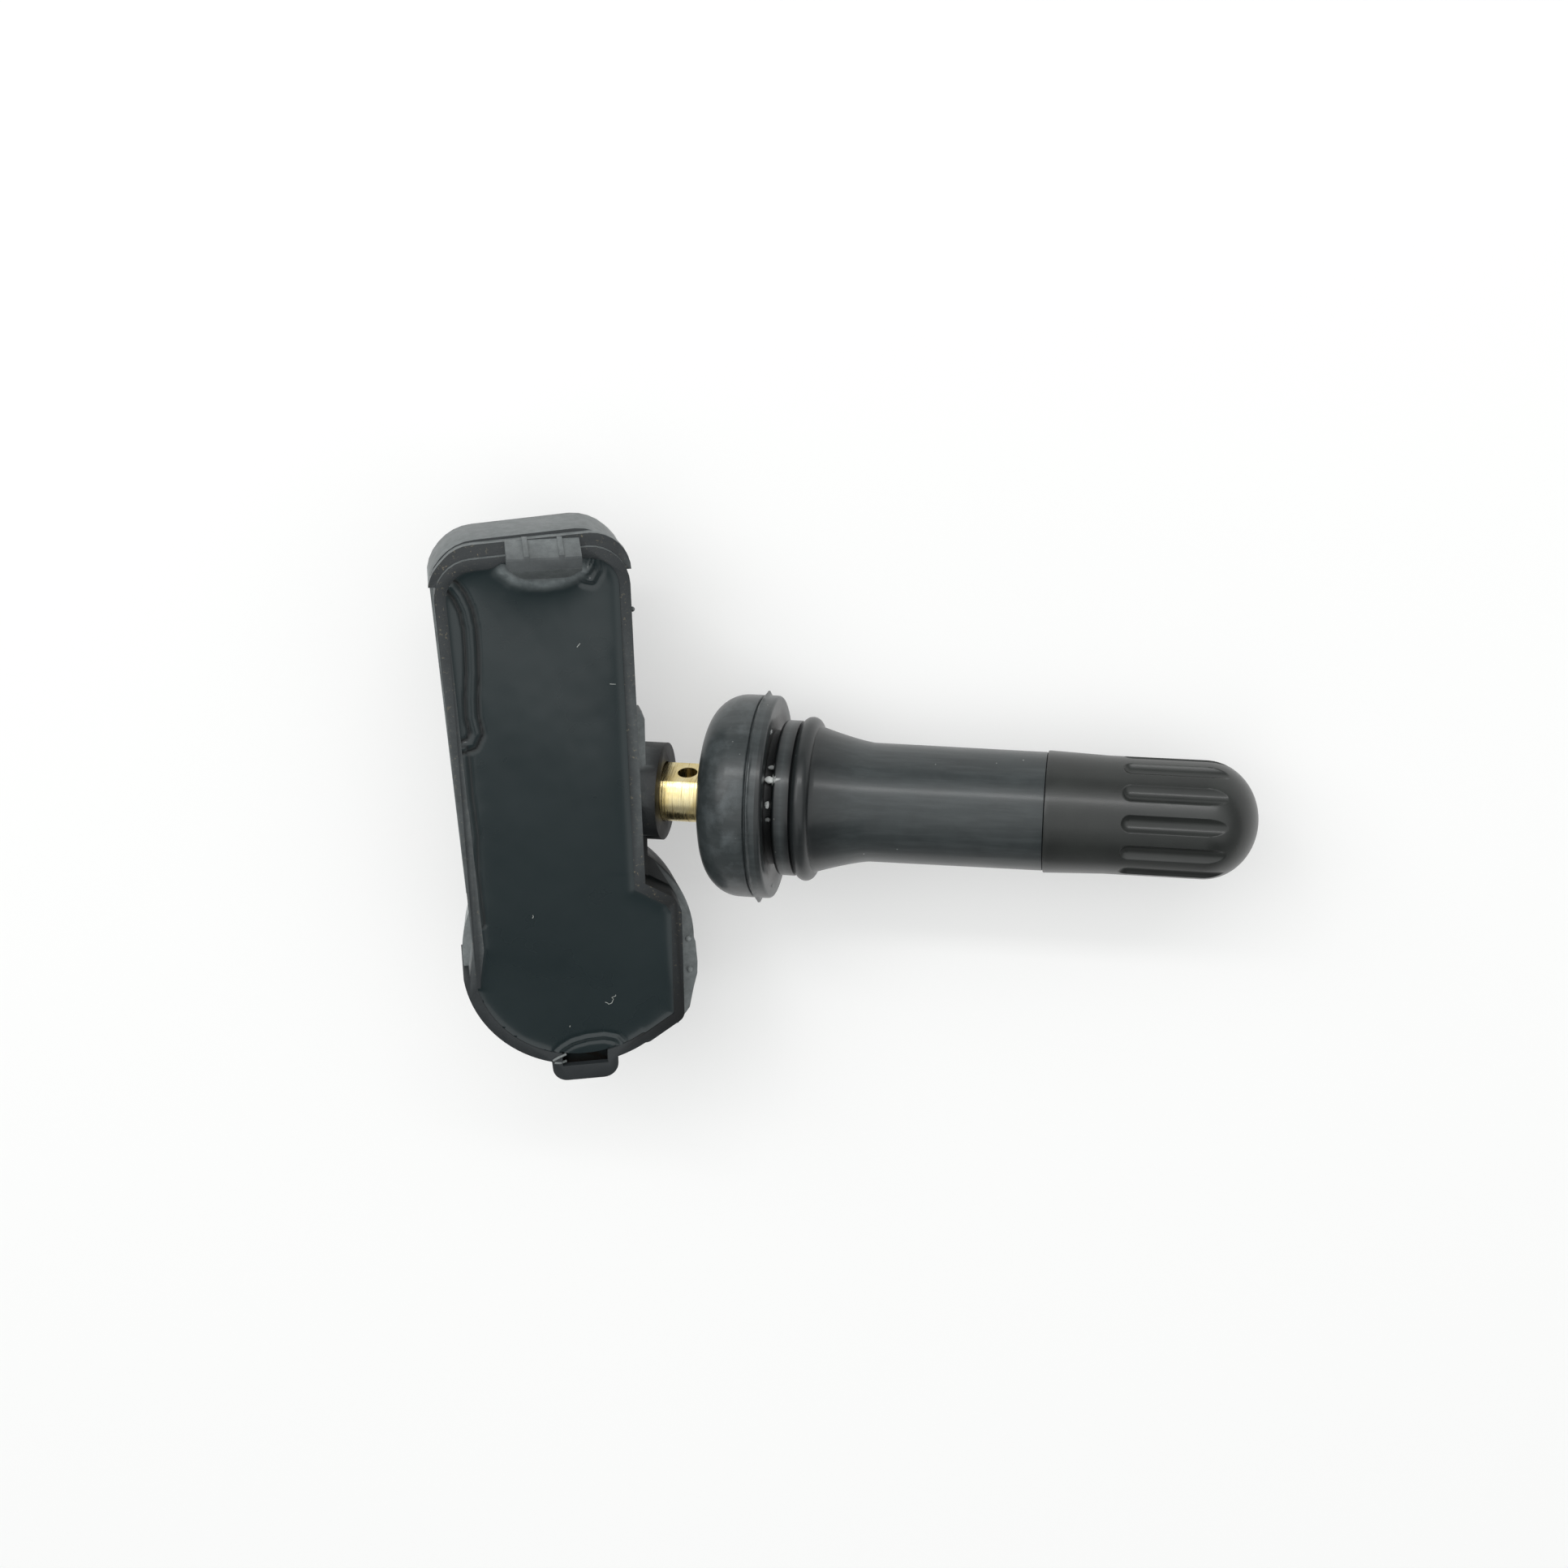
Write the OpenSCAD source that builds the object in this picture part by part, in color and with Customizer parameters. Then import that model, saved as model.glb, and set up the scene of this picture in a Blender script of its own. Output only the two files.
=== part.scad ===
// Tyre pressure sensor on a rubber snap-in valve.
// +X runs along the valve axis towards the cap, +Y along the sensor housing towards its thin
// end, and +Z up. The origin is the centre of the rim seat, on the valve axis. Millimetres.

/* [Rubber valve body] */
// Diameter of the head that stays inside the rim
head_d = 18.7; // [17.6:0.1:20]
// Thickness of the head along the valve
head_h = 6.4; // [5.6:0.1:8]
// How far the moulding flash stands out of the head
flash_h = 0.45; // [0.1:0.05:0.8]
// Length of the collar that the rim hole grips
seat_l = 1.9; // [1.8:0.1:3.2]
// Diameter of the collar before it is squeezed into the rim hole
collar_d = 14.3; // [13.6:0.1:14.8]
// Diameter of the bead that snaps through the rim hole
bead_d = 15.1; // [15:0.1:16]
// Length of the bead
bead_l = 2; // [1.6:0.1:2.4]
// Length of the hollow taper behind the bead
taper_l = 5; // [3:0.5:8]
// Diameter of the shank
shank_d = 10.9; // [10:0.1:11.4]
// Distance from the rim seat to the cap's edge
shank_l = 23.65; // [20:0.05:34]
// Length of the rubber tip inside the cap
tip_l = 3; // [2:0.1:4]
// Diameter of the rubber tip inside the cap
tip_d = 9; // [8.4:0.1:9.4]

/* [Brass stem] */
// Diameter of the bare stem between the housing and the head
stem_d = 5.5; // [5:0.1:6]
// Length of bare stem that shows
bare_l = 4.15; // [3.4:0.05:7]
// How deep the stem sits in the housing's boss
stem_seat_l = 1.8; // [1:0.05:2.4]
// Depth of the flat milled along the bare stem
flat_depth = 0.64; // [0.2:0.02:0.8]
// Direction of the flat, turned from +Z towards +Y
flat_turn = 79.6; // [0:0.1:180]
// Diameter of the air hole across the bare stem
vent_d = 1.85; // [1.2:0.05:2]
// Distance from the boss to the middle of the air hole
vent_gap = 2.2; // [1.7:0.05:2.4]
// Diameter of the stem's outer thread under the cap
thread_d = 7.7; // [7.4:0.1:8]
// Length of that thread
thread_l = 10.3; // [10:0.1:13]
// Diameter of the bore through the stem
bore_d = 3; // [2.6:0.1:3.2]

/* [Valve core] */
// Diameter of the core's threaded head
core_d = 5.2; // [4.8:0.1:5.2]
// Diameter of the core's barrel
barrel_d = 3.5; // [3.3:0.1:3.8]
// Length of the core's barrel below its threaded head
barrel_l = 5.8; // [5:0.1:8]
// Diameter of the core's pin
pin_d = 1.2; // [1:0.05:1.3]
// How far the pin's tip stays below the stem's tip
pin_drop = 0.4; // [0.2:0.05:0.6]
// How far the pin can be pressed
pin_travel = 1.3; // [0.8:0.1:1.6]
// Diameter of the spring's wire
spring_wire_d = 0.3; // [0.2:0.02:0.34]
// Number of the spring's turns
spring_turns = 7; // [4:1:9]

/* [Cap] */
// Thickness of the cap's skirt over the rubber tip
cap_wall = 0.73; // [0.7:0.01:1.1]
// Thickness of the cap's grip over its thread
grip_wall = 1.42; // [1.3:0.01:1.6]
// Thickness of the cap's closed end
cap_end_l = 4.55; // [4.2:0.05:7]
// Thickness of the rubber disc in the cap
cap_gasket_t = 0.9; // [0.6:0.05:1.4]
// Length of the cap's thread, next to the rubber disc
cap_thread_l = 4.8; // [3.2:0.1:6.4]
// Number of flutes round the grip
flute_count = 12; // [6:1:14]
// Width of a flute
flute_w = 1.5; // [1:0.1:1.6]
// Depth of a flute
flute_depth = 0.45; // [0.2:0.05:0.5]
// Distance from the cap's edge to the flutes
flute_gap = 6.8; // [5:0.1:9]
// Direction of a flute, turned from +Z towards +Y
flute_turn = 12.8; // [0:0.2:30]
// Clearance between the cap and the rubber tip, all round
cap_clearance = 0.3; // [0.2:0.05:0.4]
// Clearance of the cap's thread on the stem's thread
thread_clearance = 0.05; // [0.02:0.01:0.1]

/* [Housing] */
// Angle between the valve and the housing's potted face
lean = 20; // [15:1:25]
// Length of the boss from the housing's side to the stem
boss_l = 3.4; // [3:0.05:5]
// Diameter of the boss
boss_d = 9.06; // [8.4:0.02:9.4]
// Height of the potted rim above the valve axis at the housing's side
rim_h = 6.1; // [6:0.1:7]
// Thickness of the housing's thin end
end_depth = 8; // [8:0.1:9]
// Width of the housing at its thin end
end_w = 17; // [16.6:0.1:18]
// Width of the housing at the battery end of its straight part
waist_w = 15.5; // [15.3:0.1:16.4]
// Distance from the valve axis to the thin end's face
end_l = 25.5; // [25.4:0.1:27]
// Corner radius of the thin end
end_r = 3.5; // [2.5:0.1:4.5]
// How far the thin end's block stands proud of the tray
end_step = 0.45; // [0.2:0.05:0.8]
// Height of the tray's rim above that block
rim_step = 0.6; // [0.5:0.05:1]
// Thickness of the walls
wall = 1; // [0.8:0.05:1.1]
// How far the resin's surface lies below the rim
fill_drop = 0.35; // [0.1:0.05:0.4]

/* [Battery end] */
// Clearance between the coin cell and the wall, all round
cell_clearance = 0.12; // [0.1:0.02:0.3]
// Depth of the battery end below the potted rim
drum_depth = 8.6; // [8.4:0.1:9]
// Distance from the housing's side to the middle of the battery
drum_in = 5.6; // [5.2:0.1:6]
// Distance from the valve axis to the middle of the battery
drum_out = 14.1; // [14:0.1:15]
// Height of the rim above the battery end's ledge
ledge_drop = 3.1; // [2.6:0.1:3.4]
// How far the potted face's shoulder stands out over the battery
shoulder_w = 3.8; // [3.2:0.1:4]
// Diameter of the coin cell
cell_d = 19.7; // [19.7:0.1:20]
// Thickness of the coin cell
cell_t = 3.2; // [3:0.1:3.4]

/* [Lug and clip] */
// Width of the overflow lug
lug_w = 6.2; // [5.4:0.1:7]
// How far the lug stands out of the battery end
lug_l = 1.6; // [1.4:0.1:2.4]
// Thickness of the lug
lug_t = 2.6; // [2.2:0.1:4]
// Width of the clip on the thin end
clip_w = 6.4; // [6:0.1:8]
// Height of the clip above the rim
clip_h = 2.05; // [1.6:0.05:2.6]
// Thickness of the clip at its top
clip_t = 0.95; // [0.7:0.05:1.2]

/* [Fastening] */
// Diameter of the screw that holds the stem
screw_d = 3; // [2.6:0.1:3.2]
// Diameter of the screw's head
screw_head_d = 5; // [4.6:0.1:5.2]
// Height of the screw's head
screw_head_h = 1.7; // [1.4:0.1:2]
// Clearance round the screw's head, for the driver
driver_clearance = 0.3; // [0.2:0.05:0.3]
// Thickness of the web between the screw's head and the stem
web_t = 1.7; // [1.4:0.1:2.2]

/* [Electronics] */
// Thickness of the circuit board
board_t = 0.8; // [0.6:0.1:1]
// Thickness of resin above the circuit board
board_cover = 0.6; // [0.5:0.05:0.8]
// Gap between the circuit board and the walls
board_gap = 0.3; // [0.2:0.05:0.4]
// Side of the square sensor chip
chip_w = 7; // [6:0.5:7]
// Thickness of the sensor chip
chip_t = 1.9; // [1.4:0.1:2.2]
// Diameter of the pressure port in the floor
port_d = 1.4; // [1:0.1:1.6]
// Length of the wake-up coil
coil_l = 10; // [8:0.5:11]
// Height of the wake-up coil
coil_h = 2.8; // [2.4:0.1:3.2]
// Thickness of the battery's tabs
tab_t = 0.12; // [0.08:0.01:0.14]

/* [Hidden] */

// Stations along the valve
seal_x = -seat_l / 2;
head_x = seal_x - head_h;
bead_gap = 0.3;
taper_x = seat_l / 2 + bead_l;
bead_x = (seat_l / 2 + bead_gap + taper_x) / 2;
thread_x = shank_l + tip_l;
tip_x = thread_x + thread_l;
cap_ledge_x = tip_x + cap_gasket_t;
cap_end_x = cap_ledge_x + cap_end_l;
boss_x = head_x - bare_l;
stem_x = boss_x - stem_seat_l;
wall_x = boss_x - boss_l;
screw_seat_x = stem_x - web_t;
vent_x = boss_x + vent_gap;

// Radii on the valve
head_r = head_d / 2;
collar_r = collar_d / 2;
bead_r = bead_d / 2;
shank_r = shank_d / 2;
cap_edge_gap = 0.05;
shank_tip_r = shank_r - 0.09;
cap_bore_r = thread_d / 2 + thread_clearance;
cap_skirt_r = tip_d / 2 + cap_clearance;
cap_r = cap_skirt_r + cap_wall;
grip_r = cap_bore_r + grip_wall;
groove_r = collar_r - 0.95;
groove_w = 0.55;
seal_inner_r = bead_r + 0.05;
taper_r = shank_r + 1.25;
stem_r = stem_d / 2;
tube_r = 3.3;
anchor_r = tube_r + 1.1;
anchor_x = head_x + 1.2;
anchor_l = 1.8;

// Valve core, placed from the stem's tip
core_clearance = 0.05;
core_head_l = 5.4;
core_top_x = tip_x - 0.8;
core_neck_x = core_top_x - core_head_l;
barrel_x = core_neck_x - barrel_l;
pin_clearance = 0.08;
spring_room_r = barrel_d / 2 - 0.3;
spring_x = barrel_x + 1.2;
pin_collar_t = 0.4;
pin_collar_x = core_top_x - 3.2 - pin_collar_t;
cup_t = 1.2;
cup_r = barrel_d / 2 + 0.1;
pin_foot_t = 0.4;
pin_foot_x = barrel_x - cup_t - pin_foot_t;
chamber_r = barrel_d / 2 + 0.35;
chamber_x = pin_foot_x - pin_travel - 1.2;
seat_cone_l = 1.2;
gasket_l = 2;
seat_cone_x = core_neck_x - gasket_l - 0.2;

// Heights in the housing, from the valve axis at the housing's side
bottom_z = rim_h - end_depth;
floor_z = bottom_z + wall;
drum_bottom_z = rim_h - drum_depth;
drum_floor_z = drum_bottom_z + wall;
ledge_z = rim_h - ledge_drop;
block_z = rim_h - rim_step;
fill_z = rim_h - fill_drop;
board_top_z = fill_z - board_cover;
board_z = board_top_z - board_t;
cell_z = drum_floor_z + 0.18 + tab_t;
cell_room_h = cell_z - drum_floor_z + cell_t + tab_t + 0.1;

// Plan of the housing, from the valve axis at the housing's side
drum_x = -drum_in;
drum_y = -drum_out;
drum_room_r = cell_d / 2 + cell_clearance;
room_step = 0.08;
pot_r = drum_room_r + wall - room_step;
drum_r = pot_r - 0.03;
pot_x = drum_x - 0.1;
pot_y = drum_y + 0.05;
tray_end_y = end_l - 1.15;
end_slant = 1.1;
shoulder_y = drum_y + 7;
side_flare = 0.5;
tunnel_r = screw_head_d / 2 + driver_clearance;
duct_r = tunnel_r + 0.8;
pocket_w = lug_w - 1.9;
pocket_x = pot_x - pocket_w / 2;
pocket_drop = 1.5;
chip_y = end_l - 8.5;
chip_x = -end_w / 2 + 0.5;
coil_y = chip_y - 7.5;
crystal_y = coil_y - 5.4;
row_low_y = drum_y + cell_d / 2 + 0.2;
row_room = crystal_y - row_low_y;
post_r = 0.8;
tab_w = 2.5;
tab_foot = 2;
low_tab_turn = 115;
round_fn = 96;
corner_fn = 32;

// Points on an arc of an ellipse
function arc(cx, cy, rx, ry, from, to, steps) =
    [for (i = [0:steps]) let (a = from + (to - from) * i / steps)
        [cx + rx * cos(a), cy + ry * sin(a)]];

// Turns a profile of [station, radius] points round the valve axis
module turned(profile) {
    rotate([0, 90, 0])
        rotate_extrude($fn = round_fn)
            polygon([for (p = profile) [p[1], p[0]]]);
}

// A round bar or hole along the valve axis
module bar(from, to, radius, fn = round_fn) {
    translate([from, 0, 0])
        rotate([0, 90, 0])
            cylinder(h = to - from, r = radius, $fn = fn);
}

// Places what belongs to the housing, which leans under the valve axis
module at_housing() {
    translate([wall_x, 0, 0])
        rotate([0, lean, 0])
            children();
}

// Rounds the corners of a plan outline
module rounded(radius) {
    offset(r = radius, $fn = corner_fn)
        offset(delta = -radius)
            children();
}

// How far the tray's side on the valve stands out at a place along the housing
function side_x(y) = side_flare * (tray_end_y - y) / (tray_end_y - shoulder_y);

// Plan outline of the potted tray
module tray_outline() {
    rounded(end_r)
        polygon([[-waist_w - 0.5, -2], [side_x(-2), -2], [0, tray_end_y + end_slant / 2],
            [-end_w, tray_end_y - end_slant / 2]]);
    rounded(wall)
        polygon([[-waist_w, drum_y + 1.7], [-waist_w - 0.85, 8], [side_x(8), 8],
            [side_flare, shoulder_y], [shoulder_w - 0.7, shoulder_y - 1.6],
            [shoulder_w, shoulder_y - 2.9], [shoulder_w, drum_y - 6.95], [0, drum_y - 9.45],
            [drum_x, drum_y - 5], [pot_x - pot_r + 0.5, drum_y - 2]]);
    intersection() {
        translate([pot_x, pot_y])
            circle(r = pot_r, $fn = round_fn);
        translate([-4 * drum_r + shoulder_w, drum_y - 2 * drum_r])
            square([4 * drum_r, 2 * drum_r - 1.2]);
    }
}

// Plan outline of the block round the thin end
module block_outline(radius, right_cut, out) {
    left_x = -end_w - end_step + 0.1;
    right_x = end_step - 0.2;
    left_cut = 2.5;
    face_y = end_l + out;
    rounded(radius)
        polygon([[left_x, end_l - 12], [right_x, end_l - 12],
            [right_x, face_y + end_slant / 2 - right_cut],
            [right_x - right_cut, face_y + end_slant / 2 - 0.1],
            [left_x + left_cut, face_y - end_slant / 2 + 0.15],
            [left_x, face_y - end_slant / 2 - left_cut]]);
}

// Cuts the block's outline off where its step up to the side walls lies
module block_cut() {
    polygon([[-2 * end_w, end_l - 13], [end_w, end_l - 13], [end_w, end_l - 3.1],
        [-end_w / 2, end_l - 3.1], [-end_w / 2, end_l - 3.9], [-2 * end_w, end_l - 3.9]]);
}

// Block round the thin end: a lip over slightly rounder corners
module block() {
    lip_h = 1;
    translate([0, 0, bottom_z])
        linear_extrude(height = block_z - lip_h - bottom_z)
            difference() {
                block_outline(end_r + 0.8, 3, 0.17);
                block_cut();
            }
    translate([0, 0, block_z - lip_h])
        linear_extrude(height = lip_h)
            difference() {
                block_outline(end_r, 0.4, 0);
                block_cut();
            }
}

// Lower part of the wall away from the valve, which stands out under the rim
module flared_wall() {
    translate([0, 0, bottom_z])
        linear_extrude(height = ledge_z - bottom_z)
            polygon([[-end_w - 0.2, end_l - 3.9], [-waist_w - 1.35, end_l - 10.5],
                [-waist_w - 1.1, end_l - 17], [-waist_w - 0.6, -1], [-waist_w - 0.25, -8],
                [-waist_w + 0.5, -8], [-waist_w + 0.5, end_l - 3.9]]);
}

// Space inside the tray and the battery end, with a notch for the low tab
module tray_room(top) {
    translate([0, 0, floor_z])
        linear_extrude(height = top - floor_z)
            offset(delta = -wall)
                tray_outline();
    translate([pot_x, pot_y, drum_floor_z]) {
        cylinder(h = cell_room_h, r = drum_room_r, $fn = round_fn);
        rotate([0, 0, low_tab_turn])
            translate([drum_room_r - 1, -tab_w / 2, 0])
                cube([1.4, tab_w, floor_z - drum_floor_z + 0.5]);
    }
}

// Notch in the rim that the overflow lug backs
module overflow_pocket(top) {
    translate([pocket_x, pot_y - pot_r - 0.1, rim_h - pocket_drop])
        cube([pocket_w, wall + 0.7, top - rim_h + pocket_drop]);
}

// Side profile of the clip, whose face leans back over the thin end's rim
module clip_profile(out) {
    top_z = rim_h + clip_h;
    foot_z = block_z - 0.5;
    polygon([[end_l - 0.1 + out, foot_z], [end_l - 0.1 + out, block_z],
        [end_l - 1.15 + out, top_z - 0.1], [end_l - 1.3, top_z], [end_l - 1.2 - clip_t, top_z],
        [end_l - 1.35 - clip_t, top_z - 0.15], [end_l - 3.8, fill_z], [end_l - 3.85, foot_z]]);
}

// One slice of the clip, across the housing
module clip_slice(from, width, out) {
    translate([from, 0, 0])
        rotate([90, 0, 90])
            linear_extrude(height = width)
                clip_profile(out);
}

// Clip that stands on the thin end's rim, with a curved root and two ribs up its face
module clip() {
    clip_mid_x = -end_w / 2 + 1.1;
    clip_y = end_l - 3.8;
    half_w = clip_w / 2;
    intersection() {
        clip_slice(clip_mid_x - half_w, clip_w, 0);
        translate([clip_mid_x, clip_y, 0])
            linear_extrude(height = 3 * rim_h)
                polygon([[-half_w - 1, 6], [-half_w - 1, 2.3], [-half_w + 0.2, 1.7],
                    [-half_w * 0.7, 0.85], [-half_w * 0.4, 0.2], [0, 0], [half_w * 0.35, 0.1],
                    [half_w * 0.7, 0.55], [half_w * 0.9, 1.1], [half_w + 1, 1.9],
                    [half_w + 1, 6]]);
    }
    for (side = [-1, 1])
        clip_slice(clip_mid_x + side * 1.5 - 0.22, 0.44, 0.18);
}

// Posts that the circuit board lies on
module board_posts() {
    for (place = [[-end_w + 3.4, end_l - 4.5], [-2.2, end_l - 4.5], [-waist_w + 2.2, 3.6],
            [-2.2, coil_y + 3]])
        translate([place[0], place[1], floor_z])
            cylinder(h = board_z - floor_z, r = post_r, $fn = 32);
}

// Places what lies along the valve axis while drawing in the housing's frame
module at_valve() {
    rotate([0, -lean, 0])
        translate([-wall_x, 0, 0])
            children();
}

// Roof of the driver's way, which crosses the tray above its floor
module duct() {
    intersection() {
        at_valve()
            bar(wall_x - 14.6, wall_x + 1, duct_r);
        translate([-waist_w + 0.4, -duct_r - 1, bottom_z + 0.2])
            cube([waist_w - 0.8, 2 * duct_r + 2, end_depth]);
    }
}

// Round battery end, drafted towards its softened bottom edge
module drum() {
    edge_r = 1;
    draft = 0.35;
    translate([drum_x, drum_y, 0])
        rotate_extrude($fn = round_fn)
            polygon(concat([[0, ledge_z], [0, drum_bottom_z]],
                arc(drum_r - draft - edge_r, drum_bottom_z + edge_r, edge_r, edge_r, -90, 0, 4),
                [[drum_r, ledge_z]]));
}

// Corner of the battery end's ledge that stands past the round wall
module ledge_corner() {
    translate([0, 0, bottom_z])
        linear_extrude(height = ledge_z - bottom_z)
            polygon([[drum_x, drum_y], [drum_x + 10, drum_y + 1.8], [drum_x + 11, drum_y - 0.6],
                [drum_x + 11.15, drum_y - 2.7], [drum_x + 11.1, drum_y - 3.9],
                [drum_x + 10.74, drum_y - 5.3], [drum_x + 10.3, drum_y - 7.4],
                [drum_x + 9.15, drum_y - 9], [drum_x + 3, drum_y - 10]]);
}

// Flat foot of the boss on the housing's side
module boss_foot() {
    foot_t = 1.2;
    foot_h = 2.4;
    translate([0, 0, rim_h - 2.7 - foot_h])
        linear_extrude(height = foot_h)
            polygon([[-wall / 2, -8], [foot_t - 0.15, -8], [foot_t, 7.9], [foot_t - 0.3, 8.5],
                [-wall / 2, 8.6]]);
}

// Overflow lug at the battery end
module lug() {
    translate([0, 0, rim_h - lug_t])
        linear_extrude(height = lug_t)
            rounded(1.4)
                translate([pot_x - lug_w / 2, pot_y - pot_r - lug_l])
                    square([lug_w, lug_l + 5]);
}

module housing_plastic() {
    difference() {
        union() {
            difference() {
                union() {
                    translate([0, 0, bottom_z])
                        linear_extrude(height = end_depth)
                            tray_outline();
                    block();
                    flared_wall();
                    drum();
                    ledge_corner();
                    boss_foot();
                    lug();
                    at_valve()
                        bar(wall_x - 1.7, boss_x, boss_d / 2);
                }
                tray_room(rim_h + 1);
                overflow_pocket(rim_h + 1);
            }
            clip();
            board_posts();
            duct();
            at_valve()
                bar(screw_seat_x - screw_head_h - 2.8, wall_x + 1, duct_r);
        }
        at_valve() {
            bar(stem_x, boss_x + 1, stem_r + core_clearance);
            bar(screw_seat_x - 1, stem_x + 1, screw_d / 2 + 0.1);
            bar(screw_seat_x - 19, screw_seat_x, tunnel_r);
        }
        translate([chip_x, chip_y, bottom_z - 1])
            cylinder(h = wall + 2, r = port_d / 2, $fn = 32);
    }
}

// Moulded glass-filled nylon tray with its boss, battery end, clip and lug
module housing() {
    color("#3c3e40")
        at_housing()
            housing_plastic();
}

// Plan outline of the circuit board
module board_outline() {
    intersection() {
        offset(delta = -wall - board_gap)
            tray_outline();
        translate([-2 * end_w, drum_y - drum_r])
            square([3 * end_w, end_l - 4.2 - drum_y + drum_r]);
    }
}

module board_solid() {
    translate([0, 0, board_z])
        linear_extrude(height = board_t)
            board_outline();
}

// Coin cell, its rimmed face down
module cell_solid() {
    cell_r = cell_d / 2;
    translate([pot_x, pot_y, cell_z])
        rotate_extrude($fn = round_fn)
            polygon([[0, 0], [cell_r - 1.2, 0], [cell_r - 1, 0.25], [cell_r - 0.4, 0.35],
                [cell_r, 0.8], [cell_r, cell_t - 0.2], [cell_r - 0.2, cell_t], [0, cell_t]]);
}

// Strip from the middle of the cell out to a leg up to the board, with a soldered foot
module tab_strip(turn, width, from, leg, low, foot_in) {
    translate([pot_x, pot_y, 0])
        rotate([0, 0, turn]) {
            translate([from, -width / 2, low])
                cube([leg - from + tab_t, width, tab_t]);
            translate([leg, -width / 2, low])
                cube([tab_t, width, board_z - low]);
            translate([leg - foot_in, -width / 2, board_z - tab_t])
                cube([foot_in + tab_t, width, tab_t]);
        }
}

module tab_positive_solid() {
    leg_at = 0.3 * cell_d;
    tab_strip(-20, tab_w, 1, leg_at, cell_z + cell_t, tab_foot);
}

module tab_negative_solid() {
    leg_at = cell_d / 2 + 0.1;
    tab_strip(low_tab_turn, tab_w - 0.5, 2, leg_at, cell_z - tab_t, tab_foot);
}

module chip_solid() {
    translate([chip_x - chip_w / 2, chip_y - chip_w / 2, board_z - chip_t])
        cube([chip_w, chip_w, chip_t]);
}

// Silicone tube from the chip down to the pressure port
module port_gasket_solid() {
    translate([chip_x, chip_y, floor_z])
        difference() {
            cylinder(h = board_z - chip_t - floor_z, r = port_d / 2 + 1.3, $fn = 48);
            translate([0, 0, -1])
                cylinder(h = end_depth, r = port_d / 2 + 0.1, $fn = 32);
        }
}

// Air left inside the port's tube, which the resin doesn't reach
module port_gasket_outside() {
    translate([chip_x, chip_y, floor_z])
        cylinder(h = board_z - chip_t - floor_z, r = port_d / 2 + 1.3, $fn = 48);
}

// Ferrite bar with a flange at each end
module coil_core_solid() {
    flange_t = 1.4;
    bar_h = coil_h - 1.2;
    translate([chip_x, coil_y, board_z - coil_h / 2]) {
        cube([coil_l - 1, bar_h, bar_h], center = true);
        for (side = [-1, 1])
            translate([side * (coil_l - flange_t) / 2, 0, 0])
                cube([flange_t, coil_h + 0.2, coil_h], center = true);
    }
}

// Copper winding between the flanges
module coil_winding_solid() {
    room_l = coil_l - 2.8;
    translate([chip_x, coil_y, board_z - coil_h / 2])
        difference() {
            rotate([0, 90, 0])
                translate([0, 0, -room_l / 2])
                    linear_extrude(height = room_l)
                        rounded(0.4)
                            square(coil_h - 0.3, center = true);
            cube([coil_l, coil_h - 1.2, coil_h - 1.2], center = true);
        }
}

// Stamped loop round the chip, on two legs from the board
module antenna_solid() {
    loop_w = chip_w + 2;
    strip = 0.5;
    strip_h = 1.2;
    loop_z = floor_z + 1.5;
    translate([chip_x - loop_w / 2, chip_y - loop_w / 2, 0]) {
        translate([0, 0, loop_z])
            difference() {
                cube([loop_w, loop_w, strip_h]);
                translate([strip, strip, -1])
                    cube([loop_w - 2 * strip, loop_w - 2 * strip, strip_h + 2]);
            }
        for (x = [0, loop_w - strip])
            translate([x, 0, loop_z + strip_h / 2])
                cube([strip, 1.2, board_z - loop_z - strip_h / 2]);
    }
}

module crystal_solid() {
    translate([chip_x - 4.2, crystal_y, board_z - 0.7])
        cube([3.2, 2.5, 0.7]);
}

// A row of like chip parts along the underside of the board
module chip_row(count, first_x, y, pitch, size) {
    for (i = [0:count - 1])
        translate([first_x + i * pitch, y, board_z - size[2]])
            cube(size);
}

module capacitors_solid() {
    chip_row(5, -waist_w + 3.4, row_low_y + 0.56 * row_room, 2, [1.6, 0.8, 0.8]);
}

module resistors_solid() {
    chip_row(5, -waist_w + 3.7, row_low_y + 0.34 * row_room, 2, [1, 0.5, 0.35]);
}

// Black resin that fills the housing round all that it holds
module potting_compound() {
    color("#20282a")
        at_housing()
            difference() {
                union() {
                    tray_room(fill_z);
                    overflow_pocket(rim_h - pocket_drop + 0.8);
                }
                clip();
                board_posts();
                duct();
                at_valve()
                    bar(screw_seat_x - screw_head_h - 2.8, wall_x + 1, duct_r);
                board_solid();
                cell_solid();
                tab_positive_solid();
                tab_negative_solid();
                chip_solid();
                port_gasket_outside();
                coil_core_solid();
                coil_winding_solid();
                antenna_solid();
                crystal_solid();
                capacitors_solid();
                resistors_solid();
            }
}

// Glass-epoxy board
module circuit_board() {
    color("#1f5b38")
        at_housing()
            board_solid();
}

// Lithium coin cell
module battery_cell() {
    color("#c4c6c8")
        at_housing()
            cell_solid();
}

// Nickel strip on the cell's top
module battery_tab_positive() {
    color("#b9b6ab")
        at_housing()
            tab_positive_solid();
}

// Nickel strip under the cell
module battery_tab_negative() {
    color("#b9b6ab")
        at_housing()
            tab_negative_solid();
}

// Pressure sensor and radio in one package
module sensor_chip() {
    color("#25272a")
        at_housing()
            chip_solid();
}

// Silicone tube between chip and port
module pressure_port_gasket() {
    color("#9aa0a3")
        at_housing()
            port_gasket_solid();
}

// Ferrite core of the wake-up coil
module lf_coil_core() {
    color("#3b3a3d")
        at_housing()
            coil_core_solid();
}

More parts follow.
